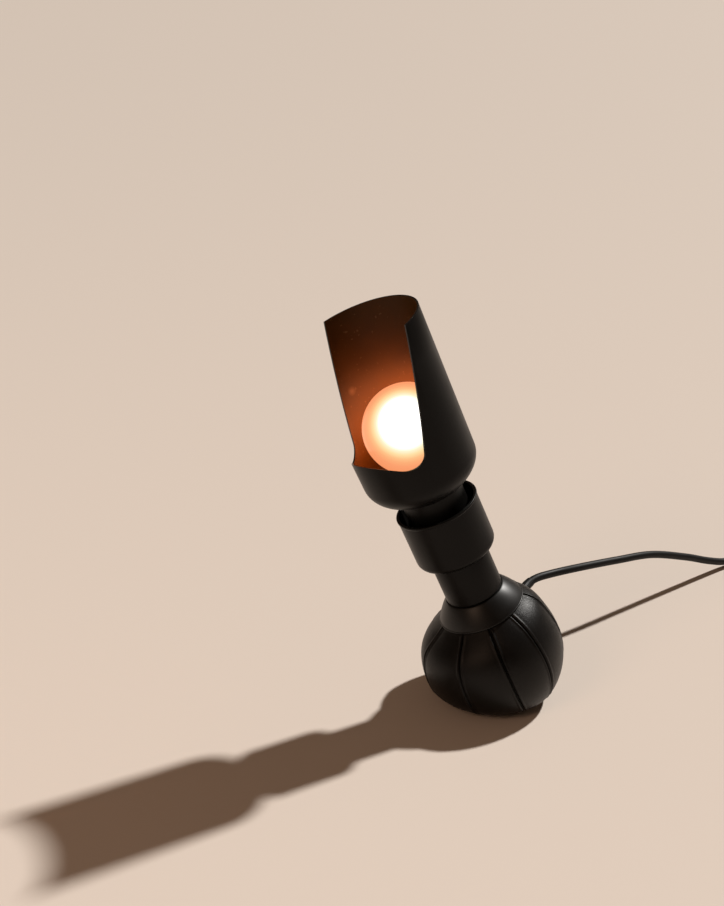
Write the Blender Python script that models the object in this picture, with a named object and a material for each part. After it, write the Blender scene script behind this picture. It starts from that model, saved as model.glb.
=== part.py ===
"""Table lamp: a turning spotlight on a stem that leans on a shot-filled leather bag."""

import functools
import math

import bmesh
import bpy
from mathutils import Matrix, Vector

# Clearance between pieces that touch
GAP = 0.0003
SEARCH_STEPS = 40
TURN_SHARE = 0.001

# Leather bag
BAG_RADIUS = 0.0338
BAG_CENTRE = 0.0220
TOP_SHARE = 0.982
PIVOT_OFFSET = 0.00456
LEAN_DEGREES = 23.4
OPENING_RADIUS = 0.0064
FOOT_SOFTNESS = 0.0040
PATCH_RADIUS = 0.0100
PATCH_CENTRE = 0.0065
LEATHER = 0.0012
SEAM_GROOVE = 0.0011
SEAM_ROLL = 0.0009
SEAM_SINK = 0.0003
SEAM_FOLD = 0.0024
LEAST_FOLD = 0.0003
SEAT_END_DEGREES = 41.0
BALL_START_DEGREES = 68.0
SEAM_DEGREES = (-137.5, -101.0, -66.0, -20.0, 29.9, 79.8, 129.7, 179.6)
ARC_ROWS = 7
PANEL_SHARES = (0.28, 0.5, 0.72)
PATCH_EDGE_SHARE = 0.75
FOLD_SHARES = (0.15, 0.40)

# Shot inside the bag
SHOT_TOP = 0.0357
SHOT_ROWS = 7
SHOT_SIDE_STEPS = 24
SHOT_CLEARANCE = 0.0009

# Clamp that holds the leather to the stand
COLLAR_RADIUS = 0.0203
COLLAR_LIP = 0.0004
COLLAR_SHOULDER = 0.0138
COLLAR_RISE = 0.0090
COLLAR_CURVE_SHARE = 0.87
CLAMP_RADIUS = 0.0120
CLAMP_THICKNESS = 0.0015
CLAMP_CLEARANCE = 0.0006
NUT_ACROSS_FLATS = 0.0140
NUT_HEIGHT = 0.0030

# Threaded tube on the lamp's axis
TUBE_RADIUS = 0.0050
TUBE_BORE = 0.0037
TUBE_CLEARANCE = 0.0003
TUBE_BELOW_NUT = 0.0010
TUBE_INTO_HOLDER = 0.0022

# Stem and cup
STEM_RADIUS = 0.0135
STEM_WALL = 0.0012
STEM_FILLET = 0.0008
STEM_HEIGHT = 0.0214
CUP_RADIUS = 0.0188
CUP_WALL = 0.0010
CUP_FILLET = 0.0036
CUP_HEIGHT = 0.0270
CUP_BEAD = 0.0004

# Washers on which the reflector turns
FIBRE_WASHER_RADIUS = 0.0090
FIBRE_WASHER_THICKNESS = 0.0032
SPRING_WASHER_RADIUS = 0.0080
SPRING_WASHER_THICKNESS = 0.0008
SPRING_WASHER_DISH = 0.0003

# Reflector
NECK_RADIUS = 0.0143
NECK_FILLET = 0.0015
SHELL_WALL = 0.0008
BULB_CLEARANCE = 0.0054
BOWL_DEPTH = 0.0156
BOWL_RISE = 0.0433
RIM_SPREAD = 0.0012
RIM_RISE = 0.0700
BOWL_STEPS = 7

# Opening of the reflector
OPENING_DEGREES = -153.8
CUT_CROSSING_RISE = 0.1005
CUT_SLOPE_SHARE = 0.269
CUT_CORNER_RISE = 0.0508
CUT_CORNER_FILLET = 0.0063
CUT_FLOOR_SHARE = 0.70
CUT_REACH = 0.0450

# Lampholder, in a frame that leans a little from the lamp's axis
HOLDER_CLEARANCE = 0.0010
HOLDER_LEAN_DEGREES = 2.3
HOLDER_LEAN_TOWARDS_DEGREES = -16.7
HOLDER_RADIUS = 0.0116
HOLDER_WALL = 0.0015
HOLDER_FLOOR = 0.0028
HOLDER_LENGTH = 0.0243
HOLDER_CHAMFER = 0.0010
CORE_RADIUS = 0.0095
CORE_BASE = 0.0058
CORE_THICKNESS = 0.0026
SHELL_RING_RADIUS = 0.0077
SHELL_RING_WALL = 0.0005
SHELL_RING_LENGTH = 0.0130
CONTACT_RADIUS = 0.0030
CONTACT_THICKNESS = 0.0006
WIRE_RADIUS = 0.0005
WIRE_SPREAD = 0.0030
WIRE_FOOT_SPREAD = 0.0010

# Bulb
BULB_RADIUS = 0.0202
BULB_NECK_LENGTH = 0.0182
BULB_WALL = 0.0010
BULB_MOUTH_RADIUS = 0.0084
BULB_TANGENT_DEGREES = 140.0
CAP_RADIUS = 0.0068
CAP_THREAD = 0.0004
CAP_THREAD_TURNS = 5
CAP_LENGTH = 0.0122
TIP_RADIUS = 0.0024
TIP_LENGTH = 0.0024

# Mains cord
CORD_RADIUS = 0.0020
EXIT_AROUND_DEGREES = 50.1
EXIT_UP_DEGREES = 13.6
EXIT_STRAIGHT = 0.0078
CORD_ROUTE = (
    (0.0312, 0.0378, 0.0338),
    (0.0380, 0.0423, 0.0355),
    (0.0480, 0.0460, 0.0354),
    (0.0660, 0.0512, 0.0345),
    (0.0920, 0.0610, 0.0312),
    (0.1180, 0.0724, 0.0264),
    (0.1453, 0.0844, 0.0165),
    (0.1640, 0.0925, 0.0085),
    (0.1785, 0.0985, 0.0036),
    (0.1900, 0.1022, 0.0034),
    (0.1975, 0.1037, 0.0053),
    (0.2030, 0.1040, 0.0064),
    (0.2085, 0.1040, 0.0065),
)
CORD_STEP = 0.0060
INNER_SHARES = (0.35, 0.70)
INNER_SAG_SHARE = 0.5
TRENCH_WIDTH = 0.0090
TRENCH_OVERRUN = 0.0080
TRENCH_DEPTH = 0.0049

# Grommet and strain relief where the cord leaves the leather
RELIEF_LENGTH = 0.0220
RELIEF_BASE_RADIUS = 0.0034
RELIEF_TIP_RADIUS = 0.0023
RELIEF_NECK_RADIUS = 0.0033
RELIEF_FLANGE_RADIUS = 0.0050
RELIEF_FLANGE_THICKNESS = 0.0012
RELIEF_HOLE_CLEARANCE = 0.0004
RELIEF_EDGE_SHARE = 0.8
RELIEF_TAPER_SHARE = 0.7

# Switch on the cord
SWITCH_LENGTH = 0.0560
SWITCH_WIDTH = 0.0210
SWITCH_HEIGHT = 0.0130
SWITCH_SHARES = (
    (0, 0.36, 0.52),
    (0.018, 0.45, 0.65),
    (0.089, 0.57, 0.75),
    (0.179, 0.90, 0.94),
    (0.232, 1, 1),
)
ROCKER_RADIUS = 0.0089
ROCKER_HALF_WIDTH = 0.0040
ROCKER_UNDER = 0.0012
ROCKER_MIDDLE = 0.0034
ROCKER_END = 0.0046
ROCKER_PIVOT_HEIGHT = 0.0094
ROCKER_TILT_DEGREES = 6.0
ROCKER_CLEARANCE = 0.00035
SCREW_SPACING = 0.0300
SCREW_HEAD_RADIUS = 0.0021
SCREW_HEAD_THICKNESS = 0.0012
SCREW_SINK = 0.0006
SCREW_SLOT_WIDTH = 0.0005
SCREW_SLOT_DEPTH = 0.0006

# Coil of the spare cord and its tie
COIL_CENTRE = (0.2605, 0.0500)
COIL_INNER_RADIUS = 0.0175
COIL_PITCH = 0.00445
COIL_TURN_COUNT = 2.25
COIL_LAST_TURN_COUNT = 2.0
COIL_LAYER_COUNT = 4
TURN_STEPS = 20
TIE_THICKNESS = 0.0005
TIE_WIDTH = 0.0050
TIE_DEGREES = 150.0
TIE_SLACK = 0.0005
TIE_CORNER = 0.0020
LEAD_BEND = 0.0180
LEAD_SHARES = (0.42, 0.58, 0.74)
LEAD_FALL_SHARES = (0.30, 0.86)

# Plug
PLUG_BODY_LENGTH = 0.0350
PLUG_WIDTH = 0.0260
PLUG_THICKNESS = 0.0136
PLUG_SHARES = (
    (0, 0.27, 0.47),
    (0.04, 0.34, 0.59),
    (0.32, 0.39, 0.65),
    (0.55, 0.88, 0.95),
    (0.66, 1, 1),
    (0.97, 1, 1),
    (1, 0.96, 0.93),
)
PLUG_CENTRE_HEIGHT = 0.0070
PLUG_GAP_TO_COIL = 0.0220
PIN_RADIUS = 0.0020
PIN_LENGTH = 0.0190
PIN_SPREAD = 0.0093
PIN_SLEEVE_RADIUS = 0.0019
PIN_SLEEVE_LENGTH = 0.0100
PIN_ROOT = 0.0030

# Places that follow from the sizes above
LEAN = math.radians(LEAN_DEGREES)
PIVOT = Vector((PIVOT_OFFSET, 0, BAG_CENTRE))
STAND = Matrix.Translation(PIVOT) @ Matrix.Rotation(-LEAN, 4, "Y")
BAG_TOP_RADIUS = BAG_RADIUS * TOP_SHARE
CLAMP_TOP = BAG_TOP_RADIUS - LEATHER - LEAST_FOLD - CLAMP_CLEARANCE
COLLAR_SEAT = BAG_TOP_RADIUS + GAP
CLAMP_BOTTOM = CLAMP_TOP - CLAMP_THICKNESS
NUT_CORNER = NUT_ACROSS_FLATS / math.sqrt(3)
NUT_TOP = math.sqrt(CLAMP_BOTTOM**2 - NUT_CORNER**2) - GAP
TUBE_START = NUT_TOP - NUT_HEIGHT - TUBE_BELOW_NUT
TUBE_HOLE = TUBE_RADIUS + TUBE_CLEARANCE
COLLAR_LOW = math.sqrt(COLLAR_SEAT**2 - COLLAR_RADIUS**2) + COLLAR_LIP
COLLAR_TOP = COLLAR_LOW + COLLAR_RISE
STEM_BASE = COLLAR_TOP + GAP
CUP_BASE = STEM_BASE + STEM_HEIGHT + GAP
FIBRE_BASE = CUP_BASE + CUP_WALL + GAP
NECK_BASE = FIBRE_BASE + FIBRE_WASHER_THICKNESS + GAP
SPRING_BASE = NECK_BASE + SHELL_WALL + GAP
HOLDER_HEIGHT = SPRING_BASE + SPRING_WASHER_THICKNESS + SPRING_WASHER_DISH + HOLDER_CLEARANCE
TUBE_END = HOLDER_HEIGHT + TUBE_INTO_HOLDER
BOWL_RADIUS = BULB_RADIUS + BULB_CLEARANCE + SHELL_WALL
BOWL_TOP = NECK_BASE + BOWL_RISE
RIM_RADIUS = BOWL_RADIUS + RIM_SPREAD
RIM_HEIGHT = BOWL_TOP + RIM_RISE
CUT_CROSSING = NECK_BASE + CUT_CROSSING_RISE
CUT_CORNER_HEIGHT = NECK_BASE + CUT_CORNER_RISE
SEAT_END = math.radians(SEAT_END_DEGREES)
BALL_START = math.radians(BALL_START_DEGREES)
OPENING_ANGLE = math.asin(OPENING_RADIUS / BAG_RADIUS)
EDGE_SHARES = (-1, 0, 1)
BAG_ROWS = ARC_ROWS + len(EDGE_SHARES)
HOLDER = (
    STAND
    @ Matrix.Translation((0, 0, HOLDER_HEIGHT))
    @ Matrix.Rotation(math.radians(HOLDER_LEAN_TOWARDS_DEGREES), 4, "Z")
    @ Matrix.Rotation(math.radians(HOLDER_LEAN_DEGREES), 4, "Y")
)
CONTACT_BASE = CORE_BASE + CORE_THICKNESS + GAP
TIP_BASE = CONTACT_BASE + CONTACT_THICKNESS + GAP
CAP_BASE = TIP_BASE + TIP_LENGTH + GAP
GLASS_BASE = CAP_BASE + CAP_LENGTH + GAP
BULB_TANGENT = math.radians(BULB_TANGENT_DEGREES)
BULB_CENTRE = GLASS_BASE + BULB_NECK_LENGTH - BULB_RADIUS * math.cos(BULB_TANGENT)
EXIT_AROUND = math.radians(EXIT_AROUND_DEGREES)
EXIT_UP = math.radians(EXIT_UP_DEGREES)
EXIT_NORMAL = Vector(
    (
        math.cos(EXIT_UP) * math.cos(EXIT_AROUND),
        math.cos(EXIT_UP) * math.sin(EXIT_AROUND),
        math.sin(EXIT_UP),
    )
)
EXIT_POINT = Vector((0, 0, BAG_CENTRE)) + EXIT_NORMAL * BAG_RADIUS
TUBE_FOOT = STAND @ Vector((0, 0, TUBE_START - 2 * GAP))
SWITCH_START = Vector(CORD_ROUTE[-1]) + Vector((GAP, 0, 0))
SWITCH_MIDDLE = SWITCH_START.x + SWITCH_LENGTH / 2
ROCKER_FRAME = Matrix.Translation((SWITCH_MIDDLE, SWITCH_START.y, ROCKER_PIVOT_HEIGHT))
COIL_LOW = TIE_THICKNESS + GAP + CORD_RADIUS + GAP
COIL_OUTER_RADIUS = COIL_INNER_RADIUS + COIL_TURN_COUNT * COIL_PITCH
COIL_END_RADIUS = COIL_INNER_RADIUS + COIL_LAST_TURN_COUNT * COIL_PITCH
COIL_HIGH = COIL_LOW + (COIL_LAYER_COUNT - 1) * COIL_PITCH
PLUG_FRONT = Vector(
    (
        COIL_CENTRE[0] - COIL_OUTER_RADIUS - PLUG_GAP_TO_COIL,
        COIL_CENTRE[1] - COIL_END_RADIUS,
        PLUG_CENTRE_HEIGHT,
    )
)


def clear_scene():
    """Removes what the empty file holds."""
    for thing in list(bpy.data.objects):
        bpy.data.objects.remove(thing, do_unlink=True)


def material(name, colour, roughness, metallic):
    """One plain material with a name of its own."""
    made = bpy.data.materials.new(name)
    made.use_nodes = True
    shader = made.node_tree.nodes["Principled BSDF"]
    shader.inputs["Base Color"].default_value = (*colour, 1)
    shader.inputs["Roughness"].default_value = roughness
    shader.inputs["Metallic"].default_value = metallic
    return made


# Materials, one function for each kind
def leather_look(name):
    return material(name, (0.012, 0.011, 0.010), 0.42, 0)


def paint_look(name):
    return material(name, (0.014, 0.014, 0.015), 0.36, 0.1)


def steel_look(name):
    return material(name, (0.52, 0.52, 0.53), 0.35, 1)


def brass_look(name):
    return material(name, (0.72, 0.52, 0.25), 0.32, 1)


def rubber_look(name):
    return material(name, (0.016, 0.016, 0.016), 0.6, 0)


def plastic_look(name):
    return material(name, (0.018, 0.018, 0.019), 0.4, 0)


def ceramic_look(name):
    return material(name, (0.82, 0.80, 0.74), 0.5, 0)


def fibre_look(name):
    return material(name, (0.32, 0.12, 0.08), 0.75, 0)


def glass_look(name):
    return material(name, (0.95, 0.90, 0.78), 0.2, 0)


def shot_look(name):
    return material(name, (0.20, 0.20, 0.21), 0.6, 0.8)


# Helpers for shapes
def smooth_share(value, low, high):
    """Rises from 0 at low to 1 at high without a corner."""
    share = min(max((value - low) / (high - low), 0), 1)
    return share * share * (3 - 2 * share)


def place(name, bm, look, frame=None, shade_smooth=True):
    """Makes one named object of a finished mesh."""
    bmesh.ops.recalc_face_normals(bm, faces=bm.faces)
    mesh = bpy.data.meshes.new(name)
    bm.to_mesh(mesh)
    bm.free()
    for polygon in mesh.polygons:
        polygon.use_smooth = shade_smooth
    mesh.materials.append(look(name))
    piece = bpy.data.objects.new(name, mesh)
    bpy.context.scene.collection.objects.link(piece)
    if frame is not None:
        piece.matrix_world = frame
    return piece


def rounded(corners, steps=3):
    """Closed outline with round corners, from (x, z, corner radius)."""
    points = []
    for index, (x, z, radius) in enumerate(corners):
        corner = Vector((x, z))
        if radius == 0:
            points.append(corner)
            continue
        before = (Vector(corners[index - 1][:2]) - corner).normalized()
        after = (Vector(corners[(index + 1) % len(corners)][:2]) - corner).normalized()
        half = before.angle(after) / 2
        centre = corner + (before + after).normalized() * radius / math.sin(half)
        start = corner + before * radius / math.tan(half) - centre
        sweep = math.pi - 2 * half
        side = 1 if before.cross(after) < 0 else -1
        for step in range(steps + 1):
            turn = Matrix.Rotation(side * sweep * step / steps, 2)
            points.append(centre + turn @ start)
    return points


def revolve(outline, segments):
    """Turns a closed outline of (radius, height) about the Z axis."""
    bm = bmesh.new()
    verts = [bm.verts.new((x, 0, z)) for x, z in outline]
    edges = [bm.edges.new(pair) for pair in zip(verts, verts[1:] + verts[:1])]
    bmesh.ops.spin(
        bm,
        geom=verts + edges,
        axis=(0, 0, 1),
        cent=(0, 0, 0),
        angle=2 * math.pi,
        steps=segments,
        use_merge=True,
        use_duplicate=False,
    )
    bmesh.ops.remove_doubles(bm, verts=bm.verts, dist=GAP / 1000)
    return bm


def skin(bm, first, second):
    """Joins two closed rings of points by four-sided faces."""
    count = len(first)
    for index in range(count):
        following = (index + 1) % count
        bm.faces.new((first[index], first[following], second[following], second[index]))


def loft(rings):
    """Solid through a row of closed rings, with both ends closed."""
    bm = bmesh.new()
    made = [[bm.verts.new(point) for point in ring] for ring in rings]
    for first, second in zip(made, made[1:]):
        skin(bm, first, second)
    bm.faces.new(made[0])
    bm.faces.new(made[-1])
    return bm


def rounded_ring(x, y, z, half_width, half_height, count=20, power=4.0):
    """Ring across the X axis between an oval and a rectangle in shape."""
    ring = []
    for step in range(count):
        angle = 2 * math.pi * (step + 0.5) / count
        across = math.copysign(abs(math.cos(angle)) ** (2 / power), math.cos(angle))
        up = math.copysign(abs(math.sin(angle)) ** (2 / power), math.sin(angle))
        ring.append(Vector((x, y + half_width * across, z + half_height * up)))
    return ring


def spline_points(route, step):
    """Points at even steps along a smooth curve through a route."""
    dense = []
    route = [Vector(point) for point in route]
    padded = [2 * route[0] - route[1], *route, 2 * route[-1] - route[-2]]
    parts = 24
    for a, b, c, d in zip(padded, padded[1:], padded[2:], padded[3:]):
        for index in range(parts):
            t = index / parts
            dense.append(
                0.5
                * (
                    2 * b
                    + (c - a) * t
                    + (2 * a - 5 * b + 4 * c - d) * t**2
                    + (3 * b - a - 3 * c + d) * t**3
                )
            )
    dense.append(route[-1])
    lengths = [0.0]
    for a, b in zip(dense, dense[1:]):
        lengths.append(lengths[-1] + (b - a).length)
    count = max(2, round(lengths[-1] / step))
    found = []
    place_at = 0
    for index in range(count + 1):
        wanted = lengths[-1] * index / count
        while place_at < len(dense) - 2 and lengths[place_at + 1] < wanted:
            place_at += 1
        span = lengths[place_at + 1] - lengths[place_at]
        share = (wanted - lengths[place_at]) / span
        found.append(dense[place_at].lerp(dense[place_at + 1], share))
    return found


def cut_route(points, start, length):
    """Part of a row of points from one distance along it, over a length."""
    kept = []
    walked = 0.0
    end = start + length
    for a, b in zip(points, points[1:]):
        span = (b - a).length
        for wanted in (start, end):
            if walked < wanted <= walked + span and (wanted == start) == (not kept):
                kept.append(a.lerp(b, (wanted - walked) / span))
        if start < walked + span < end:
            kept.append(b.copy())
        walked += span
    return kept


def route_length(points):
    """Distance along a row of points."""
    return sum((b - a).length for a, b in zip(points, points[1:]))


def cord_tube(name, points, radius, look, resolution=2):
    """Round tube along a row of points, with closed ends."""
    curve = bpy.data.curves.new(name, "CURVE")
    curve.dimensions = "3D"
    spline = curve.splines.new("POLY")
    spline.points.add(len(points) - 1)
    for target, point in zip(spline.points, points):
        target.co = (*point, 1)
    curve.bevel_depth = radius
    curve.bevel_resolution = resolution
    curve.use_fill_caps = True
    curve.materials.append(look(name))
    piece = bpy.data.objects.new(name, curve)
    bpy.context.scene.collection.objects.link(piece)
    return piece


def cut(piece, bm, name, frame=None):
    """Takes the shape of a mesh out of a piece."""
    cutter = place(name, bm, steel_look, frame, False)
    cutter.hide_render = True
    cutter.display_type = "WIRE"
    modifier = piece.modifiers.new(name, "BOOLEAN")
    modifier.object = cutter
    modifier.operation = "DIFFERENCE"
    modifier.solver = "EXACT"


def rod(radius, low, high, sides=20):
    """Plain round rod along the Z axis."""
    return revolve([(0, low), (radius, low), (radius, high), (0, high)], sides)


# Shape of the leather bag, measured along rays from the point the stand leans about
def ray(theta, phi):
    """Direction at an angle from the leaning axis and an angle round it."""
    flat = math.sin(theta)
    local = Vector((flat * math.cos(phi), flat * math.sin(phi), math.cos(theta)))
    return Matrix.Rotation(-LEAN, 3, "Y") @ local


def ball_and_table(direction, depth):
    """Distances along a ray to the round bag and to the table under it."""
    radius = BAG_RADIUS - depth
    along = PIVOT_OFFSET * direction.x
    ball = math.sqrt(along**2 + radius**2 - PIVOT_OFFSET**2) - along
    if direction.z > -GAP:
        return ball, math.inf
    return ball, (BAG_CENTRE - depth) / -direction.z


def reach(theta, phi, depth):
    """Distance to the leather: round, flat on the table and drawn to the collar's seat."""
    ball, table = ball_and_table(ray(theta, phi), depth)
    near = max(0, 1 - abs(ball - table) / FOOT_SOFTNESS)
    found = min(ball, table) - near**2 * FOOT_SOFTNESS / 4
    seat = BAG_TOP_RADIUS - depth
    return seat + (found - seat) * smooth_share(theta, SEAT_END, BALL_START)


@functools.lru_cache(maxsize=None)
def row_angles(phi):
    """Angles from the leaning axis of a meridian's rows: ball, rounded edge, patch."""
    found = []
    for share in EDGE_SHARES:
        low, high = math.pi / 2, math.pi
        for _ in range(SEARCH_STEPS):
            middle = (low + high) / 2
            ball, table = ball_and_table(ray(middle, phi), 0)
            if ball - table > share * FOOT_SOFTNESS:
                high = middle
            else:
                low = middle
        found.append(low)
    arc = [
        OPENING_ANGLE + (found[0] - OPENING_ANGLE) * row / ARC_ROWS
        for row in range(ARC_ROWS)
    ]
    return arc + found


def bag_point(row, phi, depth):
    """One point of the bag, in rows from the opening at the collar to the patch."""
    if row == BAG_ROWS:
        middle = Vector((PATCH_CENTRE, 0, 0))
        outwards = (bag_point(row - 1, phi, 0) - middle).normalized()
        return middle + outwards * (PATCH_RADIUS + GAP) + Vector((0, 0, depth))
    theta = row_angles(phi)[row]
    return PIVOT + ray(theta, phi) * reach(theta, phi, depth)


def panel_section(row, start, end):
    """Ring of points across one leather panel: outer face, then inner face."""
    fold = LEATHER + LEAST_FOLD
    fold += (SEAM_FOLD - LEAST_FOLD) * smooth_share(row / BAG_ROWS, *FOLD_SHARES)
    half_gap = GAP / 2
    inner_edge = half_gap + LEATHER
    outer = [(half_gap, fold), (half_gap, SEAM_GROOVE), (half_gap + SEAM_ROLL, SEAM_SINK)]
    inner = [
        (inner_edge, fold),
        (inner_edge, LEATHER + SEAM_SINK),
        (inner_edge + SEAM_SINK, LEATHER),
    ]

    def at(seam, side, inset, depth):
        point = bag_point(row, seam, depth)
        along = bag_point(row, seam + side * TURN_SHARE, depth) - point
        return point + along.normalized() * inset

    def across(edges, depth):
        first = [at(start, 1, *edge) for edge in edges]
        middle = [bag_point(row, start + (end - start) * share, depth) for share in PANEL_SHARES]
        last = [at(end, -1, *edge) for edge in edges[::-1]]
        return first + middle + last

    return across(outer, 0), across(inner, LEATHER)


def leather_panel(index):
    """One sewn panel of the bag, its edges folded inwards at the seams."""
    start = math.radians(SEAM_DEGREES[index])
    end = math.radians(SEAM_DEGREES[(index + 1) % len(SEAM_DEGREES)])
    if end < start:
        end += 2 * math.pi
    bm = bmesh.new()
    rings = []
    for row in range(BAG_ROWS + 1):
        over, under = panel_section(row, start, end)
        rings.append([bm.verts.new(point) for point in over + under[::-1]])
    for first, second in zip(rings, rings[1:]):
        skin(bm, first, second)
    for ring in (rings[0], rings[-1]):
        count = len(ring)
        for step in range(count // 2 - 1):
            bm.faces.new(
                (ring[step], ring[step + 1], ring[count - 2 - step], ring[count - 1 - step])
            )
    return place(f"leather_panel_{index + 1}", bm, leather_look)


def bag():
    """Panels, patch under the bag and shot inside it."""
    for index in range(len(SEAM_DEGREES)):
        panel = leather_panel(index)
        if index == exit_panel():
            hole = RELIEF_NECK_RADIUS + RELIEF_HOLE_CLEARANCE
            depth = RELIEF_FLANGE_THICKNESS + LEATHER
            cut(panel, rod(hole, -depth, depth, 16), "exit_hole", exit_matrix())
    rings = []
    for radius, height in (
        (PATCH_RADIUS, 0),
        (PATCH_RADIUS, LEATHER * PATCH_EDGE_SHARE),
        (PATCH_RADIUS - LEATHER * (1 - PATCH_EDGE_SHARE), LEATHER),
    ):
        rings.append(circle(PATCH_CENTRE, radius, height, 28))
    place("base_patch", loft(rings), leather_look)
    shot()


def exit_panel():
    """Number of the panel that the cord leaves through."""
    local = STAND.inverted() @ EXIT_POINT
    around = math.degrees(math.atan2(local.y, local.x))
    return max(range(len(SEAM_DEGREES)), key=lambda k: (SEAM_DEGREES[k] < around, k))


def circle(centre_x, radius, height, sides):
    """Ring of points about an upright axis."""
    turns = [2 * math.pi * (side + 0.5) / sides for side in range(sides)]
    return [
        Vector((centre_x + radius * math.cos(turn), radius * math.sin(turn), height))
        for turn in turns
    ]


def shot_top_angle(phi, depth):
    """Angle from the leaning axis at which a meridian of the shot comes up to its top."""
    low, high = LEAN * max(0, math.cos(phi)), math.pi - LEAN
    for _ in range(SEARCH_STEPS):
        middle = (low + high) / 2
        height = BAG_CENTRE + (ray(middle, phi) * reach(middle, phi, depth)).z
        if height > SHOT_TOP:
            low = middle
        else:
            high = middle
    return high


def shot():
    """Shot in the bag, level at the top, with a trench for the cord inside."""
    depth = LEATHER + SEAM_FOLD + SHOT_CLEARANCE
    rings = []
    for row in range(SHOT_ROWS):
        ring = []
        for column in range(SHOT_SIDE_STEPS):
            phi = 2 * math.pi * column / SHOT_SIDE_STEPS
            top = shot_top_angle(phi, depth)
            theta = top + (math.pi - top) * row / SHOT_ROWS
            ring.append(PIVOT + ray(theta, phi) * reach(theta, phi, depth))
        rings.append(ring)
    filling = place("shot_filling", loft(rings), shot_look)
    run = (EXIT_POINT - TUBE_FOOT).xy.normalized().to_3d()
    width = Vector((-run.y, run.x, 0)) * TRENCH_WIDTH / 2
    floor = EXIT_POINT.z - TRENCH_DEPTH
    start = TUBE_FOOT.xy.to_3d() + Vector((0, 0, floor)) - run * TRENCH_OVERRUN
    end = EXIT_POINT.xy.to_3d() + Vector((0, 0, floor)) + run * TRENCH_OVERRUN
    rise = Vector((0, 0, SHOT_TOP))
    ring = [start - width, start + width, end + width, end - width]
    cut(filling, loft([ring, [point + rise for point in ring]]), "cord_trench")


# Stand, from the leather up to the cup
def collar():
    """Domed collar whose underside follows the leather."""
    outline = []
    for step in range(6):
        radius = TUBE_HOLE + (COLLAR_RADIUS - TUBE_HOLE) * step / 5
        outline.append((radius, math.sqrt(COLLAR_SEAT**2 - radius**2)))
    curve = 2 * COLLAR_CURVE_SHARE
    steps = 7
    for step in range(steps):
        angle = math.pi / 2 * step / steps
        across = math.cos(angle) ** curve
        up = math.sin(angle) ** curve
        radius = COLLAR_SHOULDER + (COLLAR_RADIUS - COLLAR_SHOULDER) * across
        outline.append((radius, COLLAR_LOW + COLLAR_RISE * up))
    outline.append((COLLAR_SHOULDER, COLLAR_TOP))
    outline.append((TUBE_HOLE, COLLAR_TOP))
    place("collar", revolve(outline, 40), plastic_look, STAND)


def clamp():
    """Dished flange and nut that hold the leather from inside."""
    outline = []
    for radius_of_dish, steps in ((CLAMP_TOP, range(5)), (CLAMP_BOTTOM, range(4, -1, -1))):
        for step in steps:
            radius = TUBE_HOLE + (CLAMP_RADIUS - TUBE_HOLE) * step / 4
            outline.append((radius, math.sqrt(radius_of_dish**2 - radius**2)))
    place("clamp_flange", revolve(outline, 24), steel_look, STAND)
    bm = bmesh.new()
    rings = []
    for radius, height in (
        (TUBE_HOLE, NUT_TOP - NUT_HEIGHT),
        (NUT_CORNER, NUT_TOP - NUT_HEIGHT),
        (NUT_CORNER, NUT_TOP),
        (TUBE_HOLE, NUT_TOP),
    ):
        rings.append(
            [
                bm.verts.new(
                    (
                        radius * math.cos(math.pi * side / 3),
                        radius * math.sin(math.pi * side / 3),
                        height,
                    )
                )
                for side in range(6)
            ]
        )
    for first, second in zip(rings, rings[1:] + rings[:1]):
        skin(bm, first, second)
    widen_hole(bm)
    place("flange_nut", bm, steel_look, STAND, False)


def widen_hole(bm):
    """Moves the six-sided hole's corners out so that its flats clear the tube."""
    for vert in bm.verts:
        if vert.co.xy.length < TUBE_HOLE + GAP:
            vert.co.xy = vert.co.xy / math.cos(math.pi / 6)


def threaded_tube():
    """Hollow threaded tube that holds the stand together."""
    chamfer = GAP
    outline = [
        (TUBE_BORE, TUBE_START),
        (TUBE_RADIUS - chamfer, TUBE_START),
        (TUBE_RADIUS, TUBE_START + chamfer),
        (TUBE_RADIUS, TUBE_END - chamfer),
        (TUBE_RADIUS - chamfer, TUBE_END),
        (TUBE_BORE, TUBE_END),
    ]
    place("threaded_tube", revolve(outline, 24), steel_look, STAND)


def stem():
    """Deep-drawn sleeve between collar and cup."""
    top = STEM_BASE + STEM_HEIGHT
    outline = rounded(
        [
            (TUBE_HOLE, STEM_BASE, 0),
            (STEM_RADIUS, STEM_BASE, STEM_FILLET),
            (STEM_RADIUS, top, STEM_WALL / 4),
            (STEM_RADIUS - STEM_WALL, top, 0),
            (STEM_RADIUS - STEM_WALL, STEM_BASE + STEM_WALL, 0),
            (TUBE_HOLE, STEM_BASE + STEM_WALL, 0),
        ],
        2,
    )
    place("stem", revolve(outline, 40), paint_look, STAND)


def cup():
    """Thin open cup with a rounded bead at its rim."""
    top = CUP_BASE + CUP_HEIGHT
    inner = CUP_RADIUS - CUP_WALL
    outline = rounded(
        [
            (TUBE_HOLE, CUP_BASE, 0),
            (CUP_RADIUS, CUP_BASE, CUP_FILLET),
            (CUP_RADIUS, top - CUP_BEAD * 3, 0),
            (CUP_RADIUS + CUP_BEAD, top - CUP_BEAD * 2, 0),
            (CUP_RADIUS + CUP_BEAD, top, CUP_BEAD),
            (inner, top, CUP_WALL / 3),
            (inner, CUP_BASE + CUP_WALL, CUP_FILLET - CUP_WALL),
            (TUBE_HOLE, CUP_BASE + CUP_WALL, 0),
        ],
        3,
    )
    place("cup", revolve(outline, 40), paint_look, STAND)


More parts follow.
